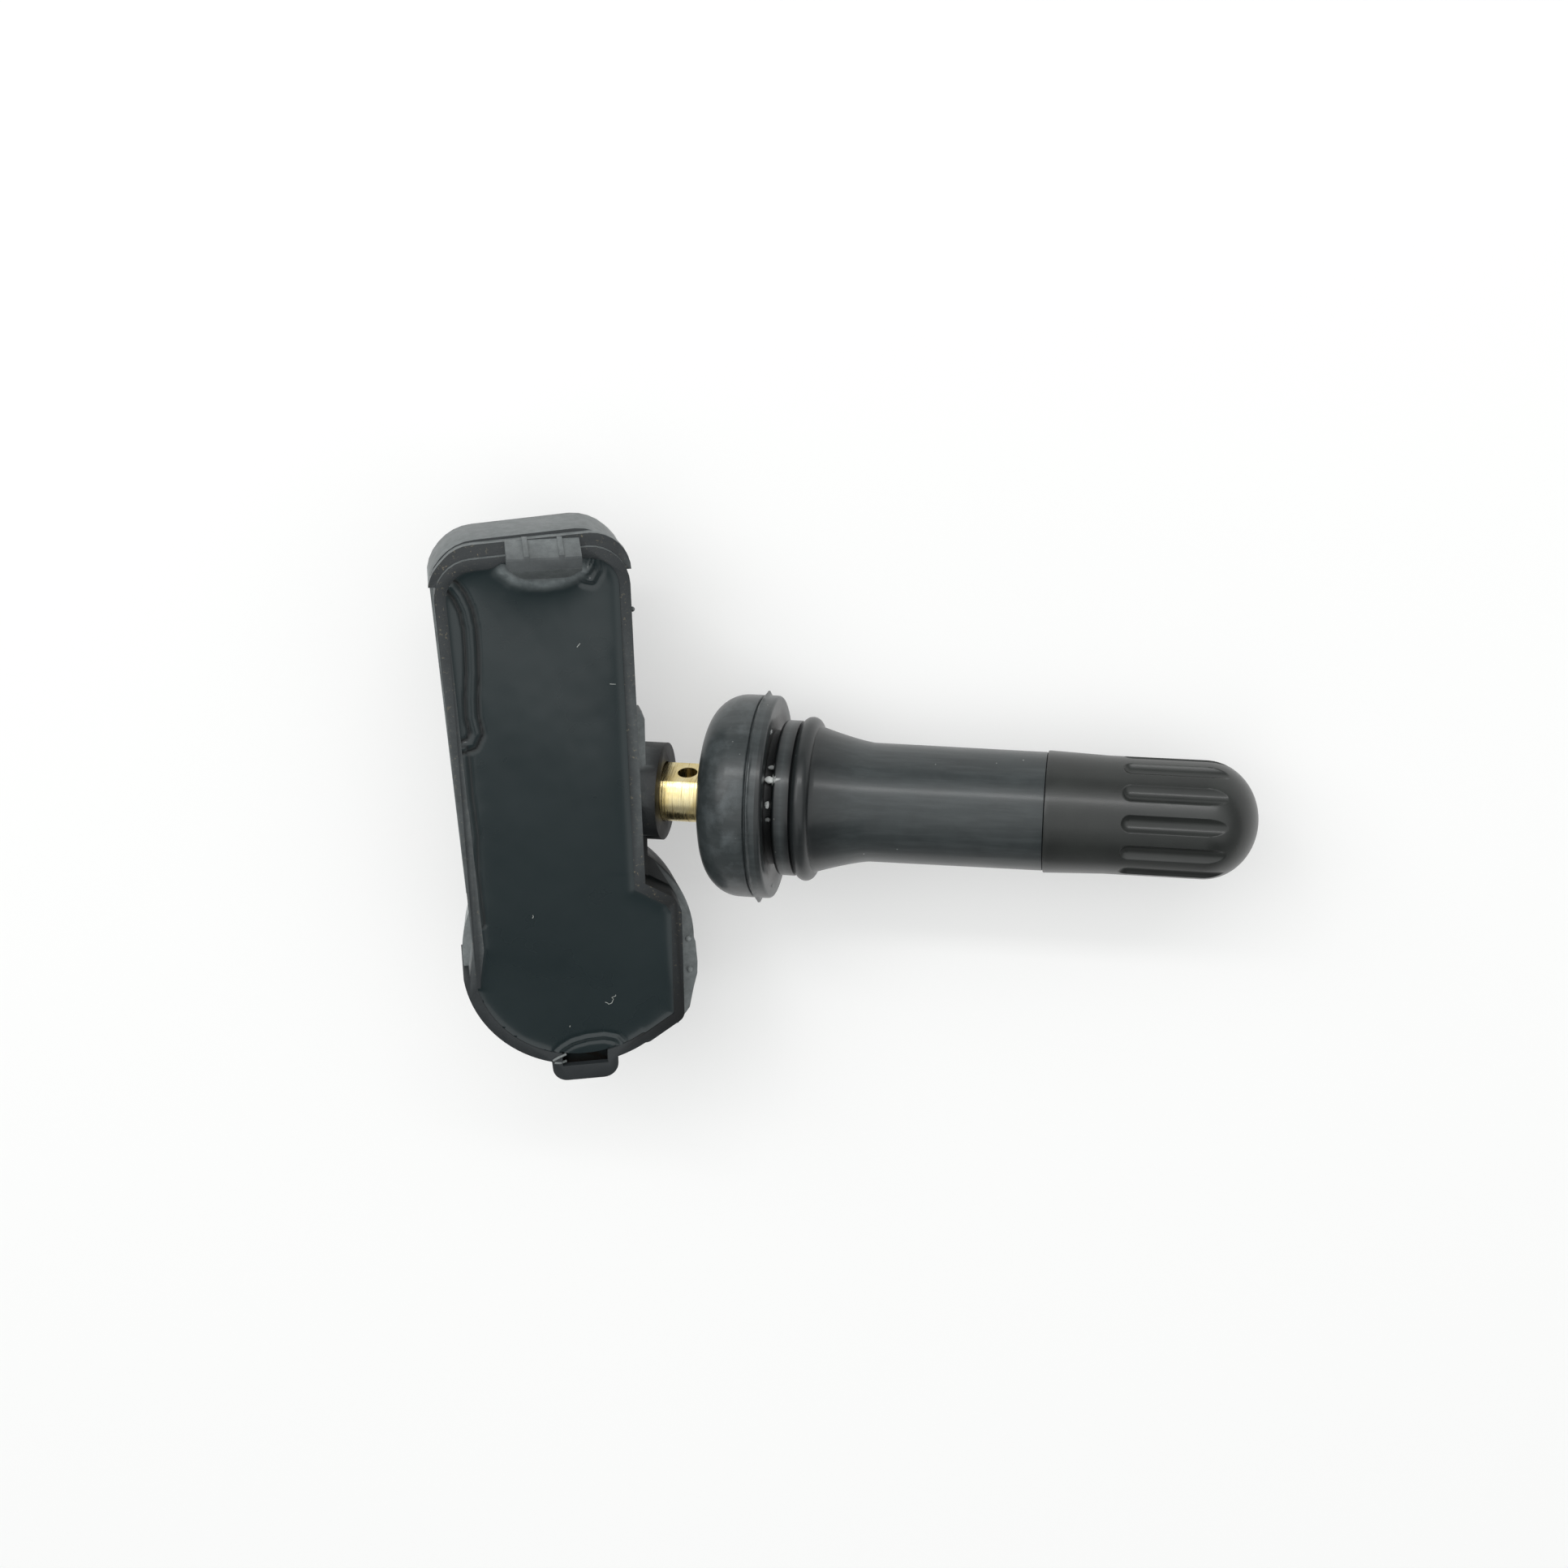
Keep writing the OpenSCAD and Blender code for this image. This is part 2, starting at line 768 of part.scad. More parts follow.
// Copper winding of the wake-up coil
module lf_coil_winding() {
    color("#b0683a")
        at_housing()
            coil_winding_solid();
}

// Tinned loop antenna
module rf_antenna() {
    color("#c9c7bd")
        at_housing()
            antenna_solid();
}

// Crystal in its metal can
module crystal() {
    color("#cfd1d3")
        at_housing()
            crystal_solid();
}

// Like chip capacitors
module chip_capacitors() {
    color("#a98560")
        at_housing()
            capacitors_solid();
}

// Like chip resistors
module chip_resistors() {
    color("#1d1e20")
        at_housing()
            resistors_solid();
}

// Pan-head screw with a six-lobe recess, from the housing's underside into the stem
module fastening_screw() {
    head_end_x = screw_seat_x - screw_head_h;
    color("#a6a8aa")
        difference() {
            union() {
                bar(head_end_x, screw_seat_x, screw_head_d / 2);
                bar(screw_seat_x - 0.5, vent_x - vent_d / 2 - 0.75, screw_d / 2);
            }
            bar(head_end_x - 1, head_end_x + 1.1, 1);
            for (i = [0:5])
                rotate([60 * i, 0, 0])
                    translate([head_end_x - 1, 0, 1])
                        rotate([0, 90, 0])
                            cylinder(h = 2.1, r = 0.36, $fn = 24);
        }
}

// Outside of the brass stem, as [station, radius] points
function stem_profile() = [[stem_x, 0], [stem_x, stem_r], [anchor_x, stem_r],
    [anchor_x, anchor_r], [anchor_x + anchor_l, anchor_r], [anchor_x + anchor_l, tube_r],
    [thread_x, tube_r], [thread_x, thread_d / 2], [tip_x - 0.5, thread_d / 2],
    [tip_x, thread_d / 2 - 0.45], [tip_x, 0]];

// Bore of the stem from the air hole to the tip, with the seat of the valve core
function bore_profile() = [[vent_x, 0], [vent_x, bore_d / 2], [chamber_x, bore_d / 2],
    [chamber_x, chamber_r], [seat_cone_x, chamber_r],
    [seat_cone_x + seat_cone_l, core_d / 2 + core_clearance],
    [tip_x + 1, core_d / 2 + core_clearance], [tip_x + 1, 0]];

// Turned brass stem with its flat, air hole and bore
module brass_stem() {
    color("#c9a94f")
        difference() {
            turned(stem_profile());
            turned(bore_profile());
            bar(stem_x - 1, vent_x - vent_d / 2 - 0.6, screw_d / 2 + core_clearance);
            rotate([-flat_turn, 0, 0]) {
                translate([stem_x - 1, -stem_r - 1, stem_r - flat_depth])
                    cube([head_x - stem_x + 1, 2 * stem_r + 2, stem_d]);
                translate([vent_x, 0, -stem_d])
                    cylinder(h = 2 * stem_d, r = vent_d / 2, $fn = 48);
            }
        }
}

// Outside of the rubber valve body, as [station, radius] points
function valve_profile() = let (dome_l = 0.55 * head_h, dome_h = 3.8) concat(
    [[head_x, 0]],
    arc(head_x + dome_l, head_r - dome_h, dome_l, dome_h, 180, 90, 10),
    [[seal_x - 1.45, head_r], [seal_x - 1.3, head_r + flash_h], [seal_x - 1.1, head_r + flash_h],
        [seal_x - 0.95, head_r]],
    arc(seal_x - 0.3, head_r - 0.3, 0.3, 0.3, 90, 0, 3),
    [[seal_x, seal_inner_r], [seal_x - 0.27, groove_r], [seal_x + groove_w, groove_r]],
    arc(seal_x + groove_w + 0.35, collar_r - 0.35, 0.35, 0.35, 180, 90, 4),
    [[seat_l / 2 + bead_gap - 0.08, collar_r], [seat_l / 2 + bead_gap, collar_r - 0.2]],
    arc(bead_x, collar_r - 0.5, taper_x - bead_x, bead_r - collar_r + 0.5, 160, 20, 10),
    [for (i = [0:10]) let (t = i / 10)
        [taper_x + taper_l * t, shank_r + (taper_r - shank_r) * pow(1 - t, 1.3)]],
    [[shank_l - cap_edge_gap, shank_tip_r], [shank_l - cap_edge_gap, tip_d / 2],
        [thread_x, tip_d / 2], [thread_x, 0]]);

// Moulded rubber valve body, bonded to the stem
module rubber_valve_body() {
    color("#3d4345")
        difference() {
            turned(valve_profile());
            turned(concat([[head_x - 1, 0], [head_x - 1, stem_r]],
                [for (i = [2:6]) stem_profile()[i]], [[thread_x + 1, tube_r], [thread_x + 1, 0]]));
        }
}

// Threaded barrel of the valve core, with two flats for the core tool
module core_barrel() {
    bridge_w = 2.4;
    color("#cdb267")
        difference() {
            union() {
                bar(core_neck_x, core_top_x, core_d / 2);
                bar(barrel_x, core_neck_x + 0.5, barrel_d / 2);
            }
            bar(barrel_x - 1, core_top_x + 1, pin_d / 2 + pin_clearance);
            bar(spring_x, pin_collar_x + pin_collar_t, spring_room_r);
            for (side = [0, 180])
                rotate([side, 0, 0])
                    translate([core_top_x - 2.2, -core_d, bridge_w / 2])
                        cube([3, 2 * core_d, core_d]);
        }
}

// Seal ring round the barrel, under the threaded head
module core_barrel_gasket() {
    inner_r = barrel_d / 2 + core_clearance;
    color("#d8d4c6")
        turned([[core_neck_x - gasket_l, inner_r], [core_neck_x - gasket_l, chamber_r - 0.1],
            [core_neck_x - 0.9, core_d / 2 - 0.05], [core_neck_x, core_d / 2 - 0.05],
            [core_neck_x, inner_r]]);
}

// Pin of the valve core, with the collar that the spring pushes and a foot for its seal
module core_pin() {
    color("#d2b76c")
        union() {
            bar(pin_foot_x, tip_x - pin_drop, pin_d / 2, 48);
            bar(pin_collar_x, pin_collar_x + pin_collar_t, spring_room_r - 0.15, 48);
            bar(pin_foot_x, pin_foot_x + pin_foot_t, cup_r - 0.5, 48);
        }
}

// Rubber cup that the pin pulls against the barrel's lower end
module core_cup_seal() {
    color("#7b2f2a")
        difference() {
            bar(pin_foot_x + pin_foot_t, barrel_x, cup_r, 48);
            bar(pin_foot_x, barrel_x + 1, pin_d / 2, 48);
        }
}

// Coil spring between the barrel's step and the pin's collar
module core_spring() {
    sides = 8;
    steps = 14 * spring_turns;
    wire_r = spring_wire_d / 2;
    coil_r = (spring_room_r + pin_d / 2) / 2;
    length = pin_collar_x - spring_x - spring_wire_d - 0.04;
    pitch = length / spring_turns;
    points = [for (i = [0:steps], k = [0:sides - 1])
        let (a = 360 * spring_turns * i / steps, b = 360 * k / sides)
            [spring_x + wire_r + 0.02 + length * i / steps + wire_r * sin(b),
                (coil_r + wire_r * cos(b)) * cos(a), (coil_r + wire_r * cos(b)) * sin(a)]];
    walls = [for (i = [0:steps - 1], k = [0:sides - 1])
        let (next = (k + 1) % sides)
            [i * sides + k, i * sides + next, (i + 1) * sides + next, (i + 1) * sides + k]];
    ends = [[for (k = [sides - 1:-1:0]) k], [for (k = [0:sides - 1]) steps * sides + k]];
    color("#b4b7ba")
        polyhedron(points = points, faces = concat(walls, ends), convexity = 10);
}

// One flute of the grip, with round ends
module flute() {
    end_r = flute_w / 2;
    flute_l = cap_end_x - shank_l - flute_gap - 3;
    translate([shank_l + flute_gap, 0, grip_r - flute_depth])
        linear_extrude(height = 2)
            polygon(concat(arc(end_r, 0, end_r, end_r, 90, 270, 8),
                arc(flute_l - end_r, 0, end_r, end_r, -90, 90, 8)));
}

// Moulded cap with a threaded bore and a fluted grip
module valve_cap() {
    dome_l = cap_end_l + 0.25;
    skirt_l = tip_l + 2.4;
    relief_r = cap_bore_r + 0.15;
    color("#2f3334")
        difference() {
            turned(concat(
                [[shank_l, 0], [shank_l, cap_r - 0.1], [shank_l + 0.1, cap_r],
                    [shank_l + skirt_l, grip_r]],
                [for (p = arc(0, 0, dome_l, grip_r, 90, 0, 12)) [cap_end_x - dome_l + p[0], p[1]]]));
            turned([[shank_l - 1, 0], [shank_l - 1, cap_skirt_r], [thread_x + 0.3, cap_skirt_r],
                [thread_x + 0.9, relief_r], [tip_x - cap_thread_l - 0.15, relief_r],
                [tip_x - cap_thread_l, cap_bore_r], [cap_ledge_x, cap_bore_r],
                [cap_ledge_x, cap_bore_r - 1], [cap_ledge_x + 2, cap_bore_r - 1],
                [cap_ledge_x + 2, 0]]);
            for (i = [0:flute_count - 1])
                rotate([360 * i / flute_count - flute_turn, 0, 0])
                    flute();
        }
}

// Rubber disc that seals the cap on the stem's tip
module cap_gasket() {
    color("#5b2320")
        bar(tip_x, cap_ledge_x, cap_bore_r - 0.25);
}

housing();
potting_compound();
circuit_board();
battery_cell();
battery_tab_positive();
battery_tab_negative();
sensor_chip();
pressure_port_gasket();
lf_coil_core();
lf_coil_winding();
rf_antenna();
crystal();
chip_capacitors();
chip_resistors();
fastening_screw();
rubber_valve_body();
brass_stem();
core_barrel();
core_barrel_gasket();
core_pin();
core_cup_seal();
core_spring();
valve_cap();
cap_gasket();
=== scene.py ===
import bpy, bmesh, math
import numpy as np
from mathutils import Matrix, Vector, noise


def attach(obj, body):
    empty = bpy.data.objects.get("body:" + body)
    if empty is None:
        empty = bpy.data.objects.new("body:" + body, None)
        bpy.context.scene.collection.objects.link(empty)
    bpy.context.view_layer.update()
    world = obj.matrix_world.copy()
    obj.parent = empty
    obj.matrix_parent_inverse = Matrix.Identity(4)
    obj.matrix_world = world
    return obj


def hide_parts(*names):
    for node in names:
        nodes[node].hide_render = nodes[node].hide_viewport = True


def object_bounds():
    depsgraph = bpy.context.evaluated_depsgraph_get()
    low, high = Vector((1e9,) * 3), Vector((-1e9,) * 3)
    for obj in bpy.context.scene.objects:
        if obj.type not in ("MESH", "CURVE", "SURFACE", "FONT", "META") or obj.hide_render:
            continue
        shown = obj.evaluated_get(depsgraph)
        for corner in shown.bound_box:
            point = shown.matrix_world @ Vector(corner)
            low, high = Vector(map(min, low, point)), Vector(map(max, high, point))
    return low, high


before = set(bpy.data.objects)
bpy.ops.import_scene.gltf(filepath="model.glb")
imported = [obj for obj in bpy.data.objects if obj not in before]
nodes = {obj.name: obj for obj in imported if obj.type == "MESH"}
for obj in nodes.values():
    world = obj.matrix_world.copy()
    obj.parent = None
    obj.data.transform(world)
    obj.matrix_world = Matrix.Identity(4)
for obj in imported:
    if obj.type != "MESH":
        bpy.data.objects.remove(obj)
cad_low, cad_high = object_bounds()

# ---------------------------------------------------------------- camera
# The photograph's camera: above the floor, looking steeply down on the potted face.
back = Vector((0.162, 0.3413, 0.926)).normalized()
right = Vector((0.985, -0.0069, -0.1695))
right = (right - right.dot(back) * back).normalized()
up = back.cross(right)
camera = bpy.data.objects.new("camera", bpy.data.cameras.new("camera"))
camera.data.sensor_width = 36
camera.data.lens = 46.584
camera.data.clip_start = 0.01
camera.matrix_world = Matrix((
    (right.x, up.x, back.x, 0.0299), (right.y, up.y, back.y, 0.065),
    (right.z, up.z, back.z, 0.1728), (0, 0, 0, 1)))
bpy.context.scene.collection.objects.link(camera)
bpy.context.scene.camera = camera
bpy.context.scene.view_settings.view_transform = "Standard"


# ---------------------------------------------------------------- floor and light
# A white table under a large soft overhead light, with a dark screen over the near side, a soft
# key from the upper left and a narrow lamp that draws the streak along the valve.
def node(tree, kind, inputs=None, **settings):
    made = tree.nodes.new("ShaderNode" + kind)
    for name, value in settings.items():
        setattr(made, name, value)
    for name, value in (inputs or {}).items():
        if isinstance(value, bpy.types.NodeSocket):
            tree.links.new(value, made.inputs[name])
        else:
            made.inputs[name].default_value = value
    return made


def linear(colour):
    parts = [int(colour[i:i + 2], 16) / 255 for i in (1, 3, 5)]
    return [c / 12.92 if c <= 0.04045 else ((c + 0.055) / 1.055) ** 2.4 for c in parts] + [1]


def fit(tree, value, low, high, to_low=0.0, to_high=1.0, shape="LINEAR"):
    return node(tree, "MapRange", {"Value": value, "From Min": low, "From Max": high,
                                   "To Min": to_low, "To Max": to_high},
                interpolation_type=shape).outputs[0]


def maths(tree, operation, first, second):
    return node(tree, "Math", {0: first, 1: second}, operation=operation).outputs[0]


def toward(tree, way, direction):
    made = node(tree, "VectorMath", {0: way, 1: direction}, operation="DOT_PRODUCT")
    return made.outputs["Value"]


world = bpy.data.worlds.new("studio")
bpy.context.scene.world = world
world.use_nodes = True
tree = world.node_tree
way = node(tree, "TexCoord").outputs["Generated"]
ceiling = fit(tree, toward(tree, way, Vector((0.16, 0.22, 0.96)).normalized()), 0.47, 0.79,
              0.32, 1.27, "SMOOTHSTEP")
near_side = fit(tree, toward(tree, way, Vector((0.287, 0.958, 0))), -0.165, -0.218, 0, 1,
                "SMOOTHSTEP")
height = fit(tree, toward(tree, way, Vector((0, 0, 1))), 0.42, 0.6, 0, 0.93, "SMOOTHSTEP")
lateral = fit(tree, toward(tree, way, Vector((1, 0, 0))), -0.05, 0.26, 0.3, 1, "SMOOTHSTEP")
dark_part = maths(tree, "MULTIPLY", maths(tree, "MULTIPLY", near_side, height), lateral)
screen = maths(tree, "SUBTRACT", 1.0, dark_part)
sky = tree.nodes["Background"]
tree.links.new(maths(tree, "MULTIPLY", ceiling, screen), sky.inputs["Strength"])
sky.inputs["Color"].default_value = (0.985, 1, 1, 1)


def lamp(name, place, target, size_x, size_y, watts):
    light = bpy.data.lights.new(name, "AREA")
    light.shape = "RECTANGLE"
    light.size, light.size_y, light.energy = size_x, size_y, watts
    holder = bpy.data.objects.new(name, light)
    bpy.context.scene.collection.objects.link(holder)
    z = (Vector(place) - Vector(target)).normalized()
    x = (Vector((1, 0, 0)) - z.x * z).normalized()
    y = z.cross(x)
    holder.matrix_world = Matrix((
        (x.x, y.x, z.x, place[0]), (x.y, y.y, z.y, place[1]),
        (x.z, y.z, z.z, place[2]), (0, 0, 0, 1)))


lamp("key", (-0.42, 0.38, 0.5), (0, 0, 0), 0.5, 0.5, 1.35)
lamp("streak", (0.02, 0.42, 0.415), (0.02, 0, 0), 0.62, 0.055, 1.0)

bpy.ops.mesh.primitive_plane_add(size=4, location=(0, 0, cad_low.z))
floor = bpy.context.object
floor.name = "floor"
paper = bpy.data.materials.new("table_white")
paper.use_nodes = True
tree = paper.node_tree
bounce = tree.nodes["Principled BSDF"]
bounce.inputs["Base Color"].default_value = (0.93, 0.93, 0.925, 1)
bounce.inputs["Roughness"].default_value = 0.8
bounce.inputs["Specular IOR Level"].default_value = 0.1
seen = node(tree, "BsdfDiffuse", {"Color": (0.55, 0.55, 0.545, 1)})
glow = node(tree, "Emission", {"Color": (1, 1, 0.995, 1), "Strength": 0.405})
ray = node(tree, "LightPath")
mirrored = maths(tree, "MAXIMUM", ray.outputs["Is Glossy Ray"], ray.outputs["Is Transmission Ray"])
looked_at = maths(tree, "MAXIMUM", ray.outputs["Is Camera Ray"], mirrored)
lit = node(tree, "AddShader", {0: seen.outputs[0], 1: glow.outputs[0]})
both = node(tree, "MixShader", {0: looked_at, 1: bounce.outputs[0], 2: lit.outputs[0]})
tree.links.new(both.outputs[0], tree.nodes["Material Output"].inputs["Surface"])
floor.data.materials.append(paper)

# ---------------------------------------------------------------- housing
# Tray with a round battery end, moulded in black glass-filled nylon. It is the CAD mesh with its
# hard edges rounded and its moulding pips, and masks for settled dust mixed with painted light,
# the rim's film and painted shade.
wall_x, lean = -0.0149, 20
out_of_housing = Matrix.Translation((wall_x, 0, 0)) @ Matrix.Rotation(math.radians(lean), 4, "Y")
into_housing = out_of_housing.inverted()


def material(name, roughness, metallic=0.0):
    made = bpy.data.materials.new(name)
    made.use_nodes = True
    shader = made.node_tree.nodes["Principled BSDF"]
    shader.inputs["Roughness"].default_value = roughness
    shader.inputs["Metallic"].default_value = metallic
    return made, made.node_tree, shader


def mix(tree, factor, first, second):
    made = node(tree, "Mix", data_type="RGBA")
    for i, value in ((0, factor), (6, first), (7, second)):
        if isinstance(value, bpy.types.NodeSocket):
            tree.links.new(value, made.inputs[i])
        else:
            made.inputs[i].default_value = value
    return made.outputs[2]


def grain(tree, where, per_mm, detail=3.0, rough=0.5):
    return node(tree, "TexNoise", {"Vector": where, "Scale": per_mm * 1000, "Detail": detail,
                                   "Roughness": rough}).outputs["Fac"]


def bump(tree, shader, height, depth_mm):
    made = node(tree, "Bump", {"Height": height, "Distance": depth_mm / 1000, "Strength": 1.0})
    tree.links.new(made.outputs[0], shader.inputs["Normal"])


def masks_of(tree):
    painted = node(tree, "Attribute", attribute_name="masks")
    return node(tree, "SeparateColor", {0: painted.outputs["Color"]})


def take(piece):
    if bpy.context.object and bpy.context.object.mode != "OBJECT":
        bpy.ops.object.mode_set(mode="OBJECT")
    bpy.ops.object.select_all(action="DESELECT")
    piece.select_set(True)
    bpy.context.view_layer.objects.active = piece


def open_mesh(piece, mode="FACE"):
    take(piece)
    bpy.ops.object.mode_set(mode="EDIT")
    bpy.ops.mesh.select_mode(type=mode)
    bpy.ops.mesh.select_all(action="SELECT")
    return bmesh.from_edit_mesh(piece.data)


def pick(piece, what, chosen):
    bpy.ops.mesh.select_all(action="DESELECT")
    bm = bmesh.from_edit_mesh(piece.data)
    for element in getattr(bm, what):
        if chosen(element):
            element.select_set(True)
    bmesh.update_edit_mesh(piece.data)


def cad_copy(node_name, name):
    made = bpy.data.objects.new(name, nodes[node_name].data.copy())
    bpy.context.scene.collection.objects.link(made)
    made.data.transform(into_housing)
    open_mesh(made)
    bpy.ops.mesh.remove_doubles(threshold=2e-6)
    bpy.ops.mesh.dissolve_limited(angle_limit=math.radians(1))
    return made


def paint(piece, masks_at):
    mesh = piece.data
    layer = mesh.attributes.new("masks", "FLOAT_COLOR", "CORNER")
    for face in mesh.polygons:
        for loop in face.loop_indices:
            place = mesh.vertices[mesh.loops[loop].vertex_index].co * 1000
            layer.data[loop].color = masks_at(place, face.normal) + (1,)


def finish(piece, body, finish_material, angle=35):
    take(piece)
    piece.data.materials.clear()
    piece.data.materials.append(finish_material)
    bpy.ops.object.shade_smooth_by_angle(angle=math.radians(angle))
    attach(piece, body)


def hard_edge(edge):
    shortest, sharp_angle = 0.00008, math.radians(25)
    if len(edge.link_faces) != 2 or edge.calc_length() < shortest:
        return False
    if edge.calc_face_angle(0) < sharp_angle:
        return False
    middle = (edge.verts[0].co + edge.verts[1].co) / 2 * 1000
    below_resin = middle.z < 5.2 and -14.4 < middle.x < -1.1 and -13 < middle.y < 24
    return not below_resin


housing = cad_copy("housing", "housing_shell")
bpy.ops.mesh.select_mode(type="EDGE")
pick(housing, "edges", hard_edge)
edge_round = 0.00013
bpy.ops.mesh.bevel(offset=edge_round, offset_type="OFFSET", segments=2, profile=0.5,
                   affect="EDGES", clamp_overlap=True)
pips = ((4.71, -14.31, 2.98, 0.3), (4.79, -17.53, 2.98, 0.3), (0.15, 18.87, 5.85, 0.24))
for x, y, z, radius in pips:
    bpy.ops.mesh.primitive_uv_sphere_add(segments=16, ring_count=8, radius=radius / 1000,
                                         location=(x / 1000, y / 1000, z / 1000))
bpy.ops.object.mode_set(mode="OBJECT")


# Red is settled grey dust mixed with painted light on the faces turned to the lamps, green the
# film on the rim and blue painted shade beside the valve, on the round rim and on the clip's rib
# sides
def housing_masks(place, normal):
    x, y, z = place
    bloom_and_painted_light, dark = 0.0, 0.0
    if abs(x - 4.75) < 0.4 and z > 3.03 and min(abs(y + 14.31), abs(y + 17.53)) < 0.4:
        bloom_and_painted_light = 1.0
    # Painted shade on the sides of the clip's ribs
    elif abs(normal.x) > 0.5 and z > 6.3 and y > 21.5 and abs(x + 7.4) < 2.5:
        dark = 0.8
    # Painted light: the clip front, end wall, sides and ledges are painted lighter by the way they
    # face
    elif normal.y < -0.2 and y > 21.4:
        bloom_and_painted_light = 0.5
    elif normal.z < 0.6 and (y > 22 or z > 6.4):
        bloom_and_painted_light = 0.46 if z < 6.4 else 0.28
    elif z > 6.3:
        bloom_and_painted_light = 0.13
    elif z < 3.6 and normal.z > 0.6:
        bloom_and_painted_light = 0.62
    elif z < 3.6 and y < -2 and x > 0:
        bloom_and_painted_light = max(0.05, min(0.6, 0.05 - (y + 9) / 9))
    elif z < 5 and normal.x < -0.5:
        bloom_and_painted_light = 1.0
    elif 0.2 < x < 1.4 and y > 0:
        bloom_and_painted_light = 0.25
    elif normal.z > 0.5 and x < -14 and -13 < y < 10:
        bloom_and_painted_light = 0.24
    film = 1.0 if normal.z > 0.5 and 5.0 < z < 6.3 and -13 < y else 0.0
    # Painted shade beside the valve boss and on the round rim
    beside_valve = (x > 0.5 and -9.5 < y < -2.5) or (x > 1.5 and abs(y) < 5)
    round_rim = z > 5 and -23 < y < -14 and x > -8
    if beside_valve or round_rim:
        dark = 1.0
    return bloom_and_painted_light, film, dark


paint(housing, housing_masks)
housing.data.transform(out_of_housing)

# Black glass-filled nylon: matt, faintly mottled, with a grey haze where dust has settled mixed
# with painted light on faces turned to the lamps, and painted shade under the blue mask
nylon, tree, shader = material("black_glass_filled_nylon", 0.5)
where = node(tree, "TexCoord").outputs["Object"]
masked = masks_of(tree)
blotch = grain(tree, where, 0.35, 4)
mottle = fit(tree, grain(tree, where, 1.3, 5, 0.65), 0.35, 0.65, 0.72, 1.08)
fibre = grain(tree, where, 6, 3, 0.6)
painted_bloom_and_light = maths(tree, "MULTIPLY", masked.outputs["Red"], fit(tree, blotch, 0.3, 0.65, 0.8, 1))
painted_bloom_and_light = maths(tree, "MULTIPLY", painted_bloom_and_light, mottle)
colour = mix(tree, fit(tree, blotch, 0.25, 0.8), linear("#222628"), linear("#2c3032"))
# Painted light and dust: faces turned to the lamps are painted a lighter grey along with the
# settled dust
colour = mix(tree, painted_bloom_and_light, colour, linear("#959b9b"))
# Painted shade: the blue mask darkens the plastic beside the valve, on the round rim and on the
# clip's rib sides
colour = mix(tree, masked.outputs["Blue"], colour, linear("#0e1112"))
specks = fit(tree, grain(tree, where, 2.6, 5, 0.75), 0.6, 0.68)
edge_dust = maths(tree, "MULTIPLY", specks, masked.outputs["Green"])
colour = mix(tree, maths(tree, "MULTIPLY", edge_dust, 0.5), colour, linear("#8a8068"))
tree.links.new(colour, shader.inputs["Base Color"])
rough = fit(tree, blotch, 0.3, 0.7, 0.44, 0.6)
rough = maths(tree, "SUBTRACT", rough, maths(tree, "MULTIPLY", masked.outputs["Green"], 0.04))
tree.links.new(rough, shader.inputs["Roughness"])
shader.inputs["Specular IOR Level"].default_value = 0.4
bump(tree, shader, fibre, 0.02)
finish(housing, "sensor", nylon)
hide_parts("housing")

# ---------------------------------------------------------------- potting resin
# Black resin poured into the tray. It has crept up the walls, wrinkled while it set and folded
# over itself behind the clip; its skin is modelled on the CAD block as a fine sheet.
fill_level = 5.75
resin = cad_copy("potting_compound", "potting_resin")
pick(resin, "faces", lambda face: face.normal.z > 0.99
     and abs(face.calc_center_median().z * 1000 - fill_level) < 0.05)
bpy.ops.mesh.duplicate()
bpy.ops.mesh.separate(type="SELECTED")
bpy.ops.object.mode_set(mode="OBJECT")
skin = [o for o in bpy.context.selected_objects if o is not resin][0]
bm = open_mesh(skin)
rim_edges = [(e.verts[0].co * 1000, e.verts[1].co * 1000) for e in bm.edges if e.is_boundary]
cell = 0.17
for axis, low, high in (((1, 0, 0), -17.2, 4.4), ((0, 1, 0), -25.2, 23.4)):
    for step in range(int((high - low) / cell) + 1):
        bmesh.ops.bisect_plane(bm, geom=bm.verts[:] + bm.edges[:] + bm.faces[:], dist=1e-7,
                               plane_co=Vector(axis) * (low + step * cell) / 1000, plane_no=axis)
bmesh.update_edit_mesh(skin.data)
bpy.ops.object.mode_set(mode="OBJECT")
flat = np.empty(len(skin.data.vertices) * 3)
skin.data.vertices.foreach_get("co", flat)
flat = flat.reshape(-1, 3)
x, y = flat[:, 0] * 1000, flat[:, 1] * 1000


def line_distance(points, px=None, py=None):
    px, py = (x, y) if px is None else (px, py)
    best = np.full(np.shape(px), 1e9)
    for (ax, ay), (bx, by) in zip(points, points[1:]):
        dx, dy = bx - ax, by - ay
        t = np.clip(((px - ax) * dx + (py - ay) * dy) / max(dx * dx + dy * dy, 1e-12), 0, 1)
        best = np.minimum(best, np.hypot(px - ax - t * dx, py - ay - t * dy))
    return best


def bell(gap, width, centre=0.0):
    return np.exp(-((gap - centre) / width) ** 2)


